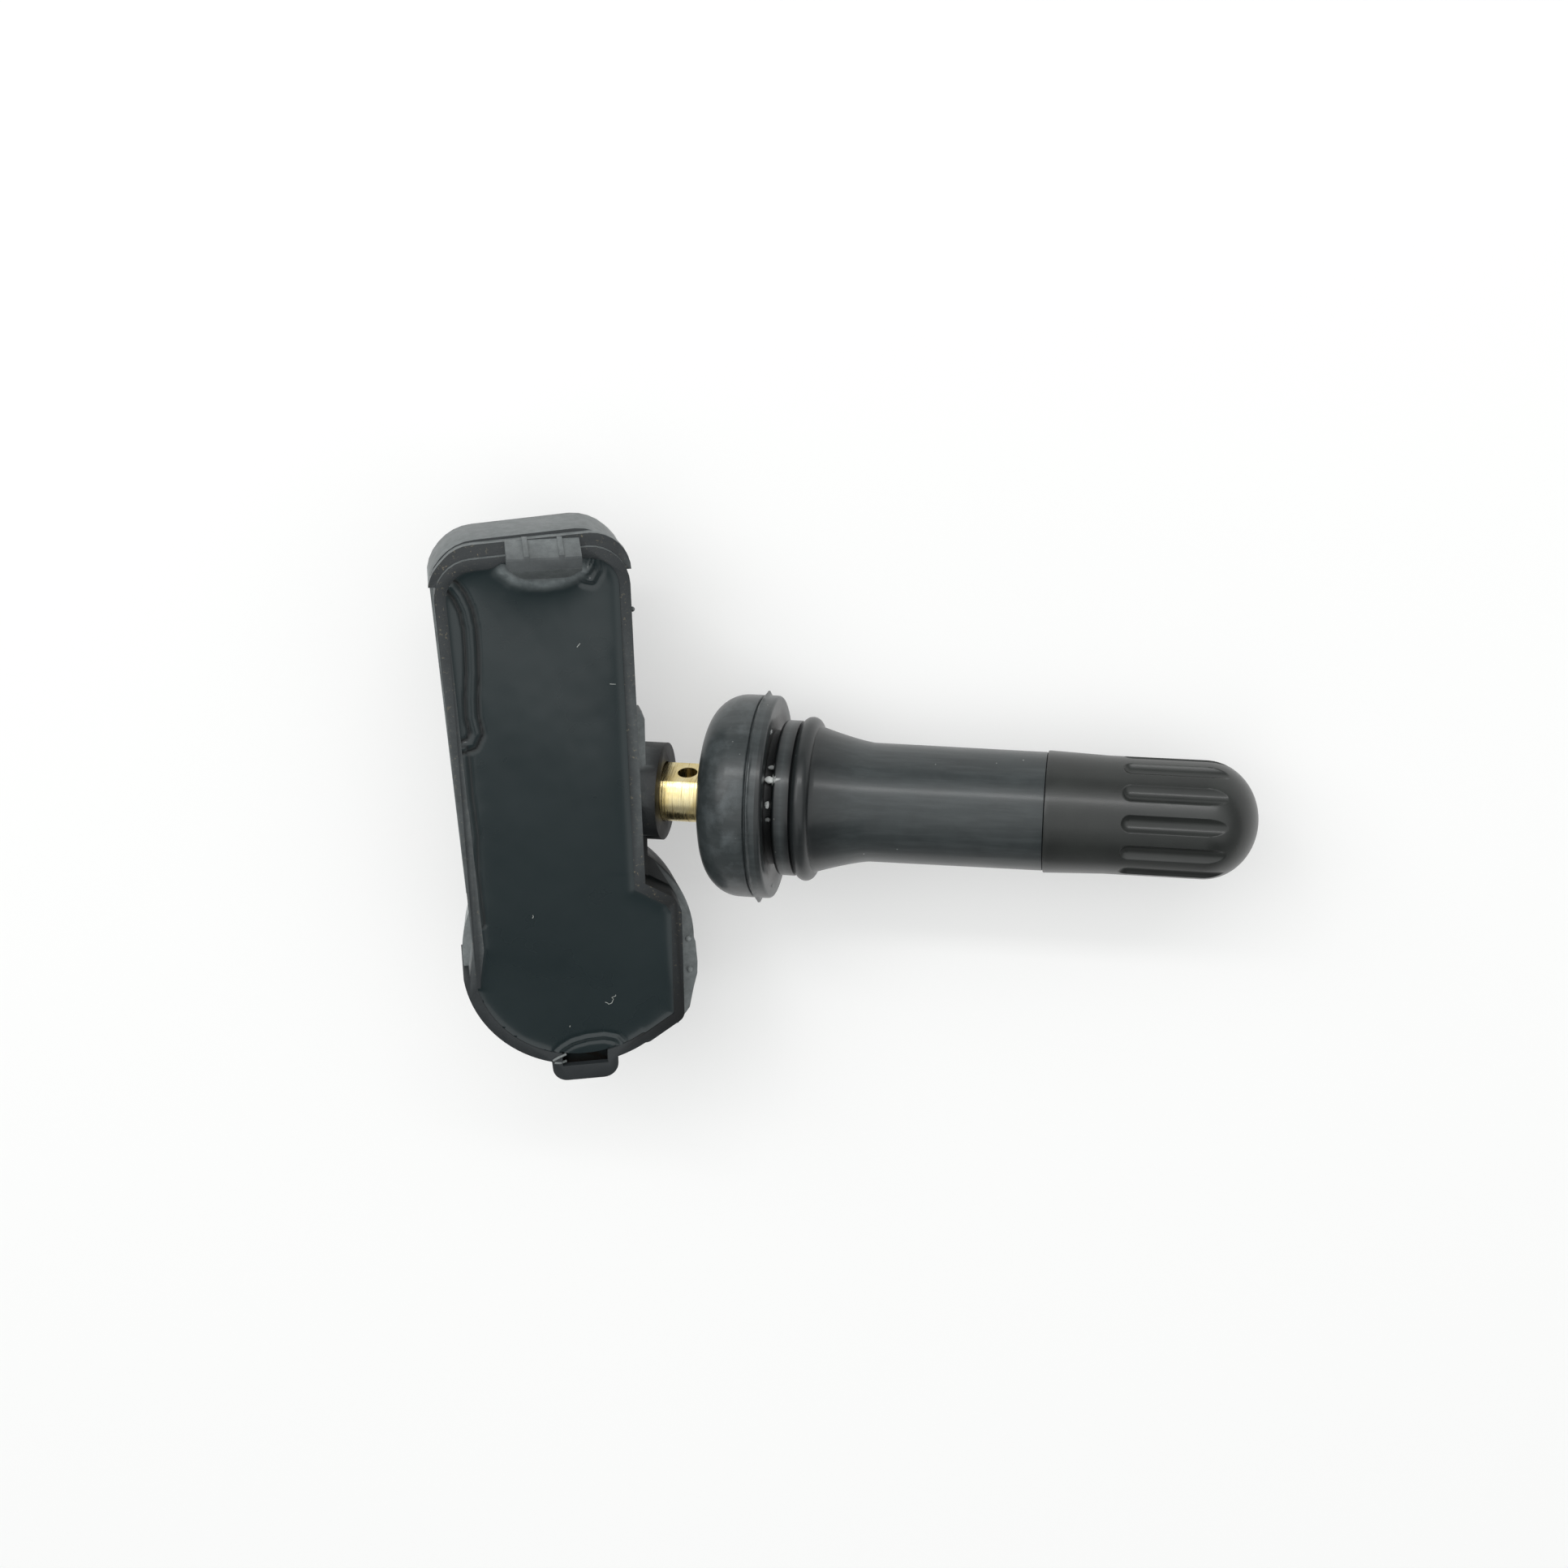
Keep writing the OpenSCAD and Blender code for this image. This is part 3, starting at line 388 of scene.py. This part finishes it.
wall = np.full(len(x), 1e9)
for a, b in rim_edges:
    wall = np.minimum(wall, line_distance(((a.x, a.y), (b.x, b.y))))
pocket = line_distance(((-7.7, -24.0), (-3.7, -24.0)))
coarse = np.array([noise.noise(Vector((px * 0.16, py * 0.12, 3.1))) for px, py in zip(x, y)])
medium = np.array([noise.noise(Vector((px * 0.8, py * 0.55, 7.7))) for px, py in zip(x, y)])
surface = 5.87 + 0.03 * coarse + 0.006 * medium
round_end = np.clip((-13 - y) / 5, 0, 1)
surface += (0.17 - 0.07 * round_end) * np.exp(-wall / 0.4) * (1 - bell(pocket, 0.9))
surface += 0.05 * (1 - round_end) * np.exp(-wall / 1.5)
smile_line = ((-10.9, 22.9), (-10.0, 22.15), (-8.8, 21.8), (-7.4, 21.68), (-6.0, 21.85),
              (-4.9, 22.2), (-4.1, 22.7))
smile = line_distance(smile_line)
surface += 0.2 * np.exp(-smile / 1.7) + 0.3 * bell(smile, 0.55)
right_wall = np.clip(0.1 - x, 0, 99) + 99 * (y < -6) + np.clip(3 - y, 0, 99) * 0.2
surface += 0.1 * np.exp(-right_wall / 1.3)
ridge_line = (
    (-15.26, 21.68), (-14.7, 20.79), (-14.22, 19.53), (-13.97, 17.93), (-13.94, 16.03),
    (-14.0, 13.82), (-14.21, 11.54), (-14.24, 9.82), (-13.97, 8.3), (-14.45, 7.34), (-15.17, 7.17))
ridge = line_distance(ridge_line)
surface += 0.1 * bell(ridge, 0.34) - 0.2 * bell(ridge, 0.13, 0.55)
thin_line = ((-15.12, 6.94), (-15.01, 2.73), (-14.74, -1.25), (-14.95, -4.7), (-14.66, -9.84))
thin = line_distance(thin_line)
surface += 0.05 * bell(thin, 0.2) - 0.07 * bell(thin, 0.11, 0.36)
hook = line_distance([(-2.93, 23.72), (-3.26, 22.96), (-3.59, 22.51), (-4.13, 22.3), (-3.92, 21.8),
                      (-3.25, 21.6), (-2.75, 22.46), (-2.87, 23.41)])
surface += 0.17 * bell(hook, 0.16) - 0.12 * bell(hook, 0.18, 0.4)
curl = line_distance([(-8.71, -24.14), (-7.79, -23.25), (-6.8, -22.7), (-5.43, -22.4),
                      (-3.86, -22.34), (-2.7, -22.67), (-2.23, -23.26), (-2.55, -23.99)])
surface += 0.12 * bell(curl, 0.16) - 0.09 * bell(curl, 0.16, 0.38)
flat[:, 2] = np.clip(surface, fill_level + 0.01, 6.4) / 1000
clip_slope = 0.67
leaning = bell(smile, 0.6) * bell(wall, 0.3)
flat[:, 1] += (clip_slope * (flat[:, 2] * 1000 - fill_level) + 0.08) * leaning / 1000
skin.data.vertices.foreach_set("co", flat.ravel())
open_mesh(skin, "EDGE")
pick(skin, "edges", lambda e: e.is_boundary)
bpy.ops.mesh.extrude_region_move(TRANSFORM_OT_translate={"value": (0, 0, -0.0001)})
bm = bmesh.from_edit_mesh(skin.data)
for vert in (v for v in bm.verts if v.select):
    vert.co.z = 0.0055
bmesh.update_edit_mesh(skin.data)
bpy.ops.mesh.edge_face_add()
bpy.ops.mesh.select_all(action="SELECT")
bpy.ops.mesh.normals_make_consistent(inside=False)
bpy.ops.object.mode_set(mode="OBJECT")
take(resin)
skin.select_set(True)
bpy.ops.object.join()


# Red is the matt smear at the clip, painted lighter there as a highlight, green the pool in the
# pocket and blue painted shade in the creases
def resin_masks(place, normal):
    px, py, pz = place
    fillet, crease = 0.0, 0.0
    if pz > 5.7 and py > 20:
        fillet = float(bell(line_distance(smile_line, px, py), 0.5))
    # Painted shade in the creases beside the ridge and the thin line
    if px < -12 and normal.z > 0.3:
        crease = float(bell(line_distance(ridge_line, px, py), 0.2, 0.55))
        crease = max(crease, 0.8 * float(bell(line_distance(thin_line, px, py), 0.12, 0.36)))
    pool = 1.0 if py < -23.9 and pz < 5.6 and normal.z > 0.5 else 0.0
    return fillet, pool, crease


paint(resin, resin_masks)
resin.data.transform(out_of_housing)


def speckled(tree, where, colour, cells_per_m, chance, size, strength, tint):
    dots = node(tree, "TexVoronoi", {"Vector": where, "Scale": cells_per_m, "Randomness": 1.0})
    drawn_lot = node(tree, "SeparateColor", {0: dots.outputs["Color"]}).outputs["Red"]
    lit_cell = fit(tree, drawn_lot, 1 - chance, 1.005 - chance)
    speck = maths(tree, "MULTIPLY", lit_cell, fit(tree, dots.outputs["Distance"], *size, 1, 0))
    return mix(tree, maths(tree, "MULTIPLY", speck, strength), colour, linear(tint))


def gloss(shader, specular, coat, coat_roughness):
    shader.inputs["Specular IOR Level"].default_value = specular
    shader.inputs["Coat Weight"].default_value = coat
    shader.inputs["Coat Roughness"].default_value = coat_roughness


# Black potting resin: satin skin with a gloss coat, a few pale specks, and a matt smear where it
# meets the clip, painted lighter as a highlight;
# painted shade darkens its creases; in the overflow pocket it has stayed glossy and brown
black_resin, tree, shader = material("black_potting_resin", 0.3)
where = node(tree, "TexCoord").outputs["Object"]
masked = masks_of(tree)
cloud = grain(tree, where, 0.12, 4)
fine = grain(tree, where, 4.5, 3, 0.6)
colour = mix(tree, fit(tree, cloud, 0.2, 0.8), linear("#1a2426"), linear("#202a2c"))
colour = speckled(tree, where, colour, 480.0, 0.045, (0.03, 0.055), 0.75, "#a9aca8")
patchy = fit(tree, grain(tree, where, 1.5, 4), 0.3, 0.6, 0.6, 1)
smear_and_highlight = maths(tree, "MULTIPLY", masked.outputs["Red"], patchy)
# Painted highlight: the matt smear at the clip is painted a light grey
colour = mix(tree, smear_and_highlight, colour, linear("#6f7677"))
colour = mix(tree, masked.outputs["Green"], colour, linear("#17120c"))
# Painted shade: the creases are painted near black
colour = mix(tree, masked.outputs["Blue"], colour, linear("#060a0b"))
tree.links.new(colour, shader.inputs["Base Color"])
rough = fit(tree, cloud, 0.1, 0.9, 0.25, 0.31)
rough = maths(tree, "ADD", rough, maths(tree, "MULTIPLY", masked.outputs["Red"], 0.3))
rough = maths(tree, "SUBTRACT", rough, maths(tree, "MULTIPLY", masked.outputs["Green"], 0.2))
rough = maths(tree, "ADD", rough, maths(tree, "MULTIPLY", masked.outputs["Blue"], 0.45))
tree.links.new(rough, shader.inputs["Roughness"])
gloss(shader, 0.3, 0.4, 0.12)
bump(tree, shader, fine, 0.003)
finish(resin, "sensor", black_resin, 60)
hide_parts("potting_compound")


# ---------------------------------------------------------------- lint and resin threads
# Fibres of lint lie on the resin, and glossy threads of it were pulled out at the pocket. Both are
# thin round tubes along lines given in housing millimetres.
def strands(name, lines, radius, finish_material):
    curve = bpy.data.curves.new(name, "CURVE")
    curve.dimensions = "3D"
    curve.bevel_depth = radius / 1000
    curve.bevel_resolution = 2
    curve.use_fill_caps = True
    for line in lines:
        spline = curve.splines.new("POLY")
        spline.points.add(len(line) - 1)
        for point, place in zip(spline.points, line):
            point.co = (out_of_housing @ (Vector(place) / 1000)).to_tuple() + (1,)
    made = bpy.data.objects.new(name, curve)
    bpy.context.scene.collection.objects.link(made)
    take(made)
    bpy.ops.object.convert(target="MESH")
    finish(made, "sensor", finish_material, 60)


# Pale cotton lint, matt
lint, tree, shader = material("pale_lint", 0.8)
shade = grain(tree, node(tree, "TexCoord").outputs["Object"], 4)
tree.links.new(mix(tree, shade, linear("#7d8280"), linear("#b4b7b2")), shader.inputs["Base Color"])
strands("lint_fibres", [
    [(-3.62, -18.84, 5.9), (-3.39, -18.93, 5.93), (-3.3, -19.09, 5.9), (-3.0, -18.96, 5.94),
     (-2.83, -18.59, 5.9), (-2.98, -18.41, 5.93), (-2.61, -18.29, 5.9), (-2.6, -18.17, 5.9)],
    [(-2.05, 12.17, 5.9), (-1.48, 12.12, 5.92)], [(-4.81, 15.71, 5.9), (-4.52, 16.05, 5.92)],
    [(-9.95, -9.75, 5.9), (-9.84, -9.6, 5.92), (-9.9, -9.45, 5.9)],
    [(-7.02, -21.1, 5.9), (-6.98, -20.95, 5.92)]], 0.035, lint)

# The same resin drawn thin and glossy all over, with its colour painted pale as a highlight
wet_thread, tree, shader = material("glossy_resin_thread", 0.12)
shade = grain(tree, node(tree, "TexCoord").outputs["Object"], 2)
tree.links.new(mix(tree, shade, linear("#4a4e4d"), linear("#8b9090")), shader.inputs["Base Color"])
strands("resin_strands", [
    [(-8.75, -24.32, 6.2), (-8.21, -24.02, 6.2), (-7.5, -23.9, 5.9)],
    [(-8.61, -24.54, 6.18), (-8.13, -24.67, 6.1), (-7.5, -24.71, 5.7)]], 0.13, wet_thread)


# ---------------------------------------------------------------- rubber valve body
# Moulded rubber bonded to the stem: head, seal face, collar, bead and shank, with a thin torn
# flash fin round the head. It is spun from its profile, and a low noise tears the fin.
def spun(name, profile, turns, shape):
    mesh = bpy.data.meshes.new(name)
    mesh.from_pydata([(px / 1000, 0, pr / 1000) for px, pr in profile],
                     [(i, i + 1) for i in range(len(profile) - 1)], [])
    made = bpy.data.objects.new(name, mesh)
    bpy.context.scene.collection.objects.link(made)
    open_mesh(made, "VERT")
    bpy.ops.mesh.spin(steps=turns, angle=2 * math.pi, center=(0, 0, 0), axis=(1, 0, 0))
    bpy.ops.mesh.select_all(action="SELECT")
    bpy.ops.mesh.remove_doubles(threshold=1e-6)
    bpy.ops.mesh.normals_make_consistent(inside=False)
    bpy.ops.object.mode_set(mode="OBJECT")
    for vert in mesh.vertices:
        px, py, pz = vert.co * 1000
        vert.co = Vector(shape(px, math.hypot(py, pz), math.atan2(py, pz))) / 1000
    return made


def arc(cx, cr, rx, rr, start, end, steps):
    turns = [math.radians(start + (end - start) * i / steps) for i in range(steps + 1)]
    return [(cx + rx * math.cos(a), cr + rr * math.sin(a)) for a in turns]


head_r = 9.35


def torn_fin(px, pr, turn):
    if -2.5 < px < -1.85 and pr > head_r + 0.03:
        ragged = noise.noise(Vector((math.cos(turn) * 3.5, math.sin(turn) * 3.5, 1.7)))
        ragged += 0.6 * noise.noise(Vector((math.cos(turn) * 11, math.sin(turn) * 11, 4.2)))
        tag = max(math.exp(-((turn - 1.9) / 0.1) ** 2), math.exp(-((turn + 1.2) / 0.1) ** 2))
        pr = head_r + (pr - head_r) * max(0.15, min(1.0, 0.35 + 0.3 * ragged + 0.6 * tag))
        px += 0.06 * ragged
    return px, pr * math.sin(turn), pr * math.cos(turn)


profile = [(-7.35, 3.0), (-7.35, 4.2)] + arc(-3.83, 5.55, 3.52, 3.8, 178, 90, 24)
profile += [(-3.2, 9.35), (-2.62, 9.35), (-2.52, 9.3), (-2.44, 9.12), (-2.36, 9.1), (-2.3, 9.4),
            (-2.25, 9.66), (-2.2, 9.79), (-2.12, 9.79), (-2.05, 9.6), (-1.97, 9.4), (-1.88, 9.35),
            (-1.5, 9.35), (-1.44, 9.35)]
profile += arc(-1.23, 9.06, 0.28, 0.28, 90, 0, 6)
profile += [(-0.95, 8.4), (-0.96, 7.72), (-1.02, 7.58), (-1.2, 6.4), (-1.16, 6.22), (-1.0, 6.2),
            (-0.52, 6.2), (-0.42, 6.24)]
profile += arc(-0.05, 6.8, 0.35, 0.35, 180, 90, 7)
profile += [(0.45, 7.15), (1.08, 7.15), (1.17, 7.1), (1.22, 6.96), (1.28, 6.9)]
profile += arc(2.1, 6.65, 0.85, 0.9, 158, 22, 14)
profile += [(2.93, 6.77)]
profile += [(2.95 + 5 * i / 24, 5.45 + 1.25 * (1 - i / 24) ** 1.3) for i in range(1, 25)]
profile += [(7.95 + 15.6 * i / 12, 5.45 - 0.09 * i / 12) for i in range(1, 12)]
profile += [(23.5, 5.36), (23.58, 5.34), (23.6, 5.28), (23.6, 4.5), (26.55, 4.5), (26.65, 4.4),
            (26.65, 3.3)]
valve = spun("rubber_valve", profile, 240, torn_fin)

# Crumbs of flash in the gap: station, radius, turn, half length, half width and paleness
crumbs = ((-0.62, 6.85, 33, 0.46, 0.3, 1.0), (-0.75, 6.6, 14, 0.22, 0.34, 0.8),
          (-0.6, 6.8, 43, 0.3, 0.2, 0.35), (-0.7, 6.5, 2, 0.24, 0.2, 0.3),
          (-0.1, 7.12, 33, 0.1, 0.1, 0.8), (-0.98, 7.9, 68, 0.15, 0.3, 0.4),
          (-0.98, 8.2, -68, 0.12, 0.3, 0.4))


def on_turn(station, radius, turn):
    return Vector((station, radius * math.sin(turn), radius * math.cos(turn)))


open_mesh(valve)
for cx, cr, turn, long, wide, level in crumbs:
    turn = math.radians(turn)
    bpy.ops.mesh.primitive_ico_sphere_add(
        subdivisions=2, radius=0.001, location=on_turn(cx, cr, turn) / 1000,
        rotation=(-turn, 0, 0), scale=(long, wide, 0.16))
    bpy.ops.transform.vertex_random(offset=0.00007, seed=int(level * 10))
bpy.ops.object.mode_set(mode="OBJECT")


# Red is the pale crumbs, green the haze on the head and blue painted shade in the gap, on the seal
# face and head corner, and along the bead and taper
def valve_masks(place, normal):
    px, py, pz = place
    reach = math.hypot(py, pz)
    crumb = 0.0
    for cx, cr, turn, long, wide, level in crumbs:
        gap = (place - on_turn(cx, cr, math.radians(turn))).length
        if gap < max(long, wide) + 0.09 and abs(reach - cr) < 0.25 and normal.x < 0.98:
            crumb = max(crumb, level)
    haze = max(0.0, 1 - abs(px + 4.2) / 3.6) if px < -1 else 0.0
    turn = math.atan2(py, pz)
    # Painted shade in the gap, on the seal face and round the head's corner, and along the bead
    # and taper
    shade = 0.0
    if -1.47 < px < 0.5:
        if reach < 8.15:
            shade = max(0.0, min(1.0, (0.35 - px) / 0.6))
        elif reach < 8.9:
            shade = 0.35
        else:
            shade = max(0.0, 0.9 - abs(turn - 0.3) / 1.3)
    elif 0.95 < px < 8:
        shade = 0.95 if px < 1.45 else min(0.75, 0.75 - (px - 3.3) / 5)
    return crumb, haze, 0.0 if crumb else max(shade, 0.0)


paint(valve, valve_masks)

# Black moulded rubber: satin with a thin waxy gloss, faintly streaked along the mould, hazy on the
# head and dusty in the gap behind it, with painted shade in that gap, on the seal face and along
# the bead
rubber, tree, shader = material("black_moulded_rubber", 0.36)
where = node(tree, "TexCoord").outputs["Object"]
masked = masks_of(tree)
cloud = grain(tree, where, 0.3, 5, 0.6)
fine = grain(tree, where, 7, 3, 0.6)
along = node(tree, "Mapping", {"Vector": where, "Scale": (150, 1500, 1500)}).outputs[0]
drawn = grain(tree, along, 0.001, 4, 0.6)
colour = mix(tree, fit(tree, cloud, 0.25, 0.75), linear("#252a2b"), linear("#313738"))
colour = mix(tree, fit(tree, drawn, 0.45, 0.75, 0, 0.4), colour, linear("#474c4d"))
patchy = fit(tree, grain(tree, where, 0.55, 5, 0.6), 0.45, 0.65, 0, 0.8)
hazy = maths(tree, "MULTIPLY", masked.outputs["Green"], patchy)
colour = mix(tree, hazy, colour, linear("#4c5254"))
colour = speckled(tree, where, colour, 1300.0, 0.05, (0.06, 0.12), 0.6, "#9a9c98")
# Painted shade: the blue mask darkens the gap, seal face, head corner, bead and taper
colour = mix(tree, masked.outputs["Blue"], colour, linear("#0d1011"))
colour = mix(tree, masked.outputs["Red"], colour, linear("#c9ccca"))
tree.links.new(colour, shader.inputs["Base Color"])
tree.links.new(fit(tree, cloud, 0.2, 0.8, 0.34, 0.48), shader.inputs["Roughness"])
gloss(shader, 0.35, 0.3, 0.2)
bump(tree, shader, fine, 0.004)
finish(valve, "sensor", rubber, 40)
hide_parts("rubber_valve_body")


# ---------------------------------------------------------------- valve cap
# Moulded plastic cap with twelve long flutes and a domed end. Its outside is spun finely, and
# round-bottomed flutes with crisp edges are pressed into it; a gate nub is left on the dome.
flute_step, flute_turn = math.radians(30), math.radians(12.8)
flute_start, flute_reach, grip_r = 31.15, 0.79, 5.3
flute_floor, flute_depth, flute_roundness = 4.88, 0.44, 2.4


def fluted(px, pr, turn):
    if px > 24 and pr > 4.0:
        off = (turn - flute_turn + flute_step / 2) % flute_step - flute_step / 2
        reach = math.hypot(off * grip_r, max(0.0, flute_start - px)) / flute_reach
        if reach < 1:
            pr = min(pr, flute_floor + flute_depth * reach ** flute_roundness)
    return px, pr * math.sin(turn), pr * math.cos(turn)


stations = [23.76 + 0.44 * i for i in range(1, 13)] + [29.7, 30.1]
stations += [30.3 + 0.06 * i for i in range(22)] + [31.9 + 0.8 * i for i in range(8)]
profile = [(26.9, 4.81), (23.68, 4.81), (23.66, 4.84), (23.65, 5.44), (23.68, 5.5),
           (23.76, 5.53)]
profile += [(px, max(5.32, 5.53 - 0.21 * (px - 23.76) / 5.29)) for px in stations]
profile += arc(37.6, 0, 4.8, 5.32, 90, 0.4, 64)
profile += [(42.4, 0)]
cap = spun("fluted_cap", profile, 720, fluted)
open_mesh(cap)
bpy.ops.mesh.primitive_uv_sphere_add(segments=12, ring_count=8, radius=0.00014,
                                     location=(0.04225, -0.00079, -0.00055))
bpy.ops.object.mode_set(mode="OBJECT")

# Black cap plastic: warmer and darker than the rubber, satin, with fine moulding grain
plastic, tree, shader = material("black_cap_plastic", 0.36)
where = node(tree, "TexCoord").outputs["Object"]
cloud = grain(tree, where, 0.3, 4)
colour = mix(tree, fit(tree, cloud, 0.25, 0.8), linear("#1b1d1c"), linear("#252826"))
colour = speckled(tree, where, colour, 900.0, 0.02, (0.06, 0.12), 0.5, "#8f908a")
tree.links.new(colour, shader.inputs["Base Color"])
tree.links.new(fit(tree, cloud, 0.2, 0.8, 0.32, 0.42), shader.inputs["Roughness"])
gloss(shader, 0.4, 0.2, 0.2)
bump(tree, shader, grain(tree, where, 8, 3, 0.6), 0.006)
finish(cap, "cap_body", plastic, 40)
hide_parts("valve_cap")


# ---------------------------------------------------------------- brass stem
# Turned brass with a milled flat and a cross hole. The CAD shape is right, so it keeps its node
# and gets pale, lightly scratched brass with turning marks.
def dress(node_name, finish_material):
    for place in nodes[node_name].material_slots:
        place.material = finish_material


brass, tree, shader = material("turned_brass", 0.28, 1.0)
where = node(tree, "TexCoord").outputs["Object"]
cloud = grain(tree, where, 0.6, 4)
rings = node(tree, "Mapping", {"Vector": where, "Scale": (7000, 250, 250)}).outputs[0]
lathe = grain(tree, rings, 0.001)
colour = mix(tree, fit(tree, cloud, 0.35, 0.65), linear("#e4cc8a"), linear("#f1e2b2"))
colour = mix(tree, fit(tree, lathe, 0.57, 0.7, 0, 0.65), colour, linear("#8d7238"))
tree.links.new(colour, shader.inputs["Base Color"])
tree.links.new(fit(tree, lathe, 0.3, 0.7, 0.17, 0.36), shader.inputs["Roughness"])
bump(tree, shader, lathe, 0.018)
for node_name in ("brass_stem", "core_barrel", "core_pin"):
    dress(node_name, brass)


# ---------------------------------------------------------------- electronics and small parts
# What the resin hides: board, cell, tabs, chip, coil, antenna and chip parts, with the screw, the
# seals and the spring. Each keeps its CAD node and gets the finish of its real material.
def plain(name, first, second, per_mm, low, high, metallic):
    made, tree, shader = material(name, (low + high) / 2, metallic)
    where = node(tree, "TexCoord").outputs["Object"]
    cloud = grain(tree, where, per_mm, 4)
    colour = mix(tree, fit(tree, cloud, 0.35, 0.65), linear(first), linear(second))
    tree.links.new(colour, shader.inputs["Base Color"])
    tree.links.new(fit(tree, cloud, 0.3, 0.7, low, high), shader.inputs["Roughness"])
    bump(tree, shader, grain(tree, where, per_mm * 6, 3, 0.6), 0.004)
    return made


# Node, material, two colours, grain per mm, lowest and highest roughness, and metal or not
small_parts = (
    ("circuit_board", "green_board_epoxy", "#16492b", "#1d5a35", 0.5, 0.3, 0.42, 0.0),
    ("battery_cell", "nickel_plated_steel_can", "#b9bbbd", "#cdced0", 0.4, 0.2, 0.32, 1.0),
    ("battery_tab_positive", "nickel_strip", "#b5b1a6", "#c6c2b8", 1.5, 0.28, 0.4, 1.0),
    ("sensor_chip", "black_chip_moulding", "#1c1d1f", "#242629", 2.0, 0.45, 0.6, 0.0),
    ("pressure_port_gasket", "grey_silicone", "#8d9396", "#9ea4a7", 1.0, 0.45, 0.6, 0.0),
    ("lf_coil_core", "grey_ferrite", "#2c2c2f", "#3a3a3d", 2.0, 0.5, 0.7, 0.0),
    ("lf_coil_winding", "enamelled_copper_wire", "#8f4a22", "#b0683a", 3.0, 0.25, 0.4, 1.0),
    ("rf_antenna", "tinned_strip", "#bdbbb2", "#cfcdc4", 1.5, 0.25, 0.4, 1.0),
    ("crystal", "drawn_metal_can", "#c2c4c6", "#d3d5d7", 1.5, 0.18, 0.3, 1.0),
    ("chip_capacitors", "tan_ceramic", "#95724f", "#ab8862", 3.0, 0.4, 0.55, 0.0),
    ("chip_resistors", "black_resistor_glaze", "#151617", "#202123", 3.0, 0.25, 0.4, 0.0),
    ("fastening_screw", "zinc_plated_steel", "#9a9c9e", "#b0b2b4", 1.0, 0.25, 0.4, 1.0),
    ("core_barrel_gasket", "white_core_seal", "#cbc7b9", "#dad6c9", 1.0, 0.35, 0.5, 0.0),
    ("core_cup_seal", "red_cup_rubber", "#6a2824", "#7b2f2a", 1.5, 0.45, 0.6, 0.0),
    ("core_spring", "spring_steel_wire", "#a6a9ac", "#b9bcbf", 2.0, 0.22, 0.35, 1.0),
    ("cap_gasket", "dark_red_seal_rubber", "#4a1c19", "#5b2320", 1.0, 0.5, 0.65, 0.0),
)
for node_name, name, first, second, per_mm, low, high, metallic in small_parts:
    dress(node_name, plain(name, first, second, per_mm, low, high, metallic))
dress("battery_tab_negative", bpy.data.materials["nickel_strip"])
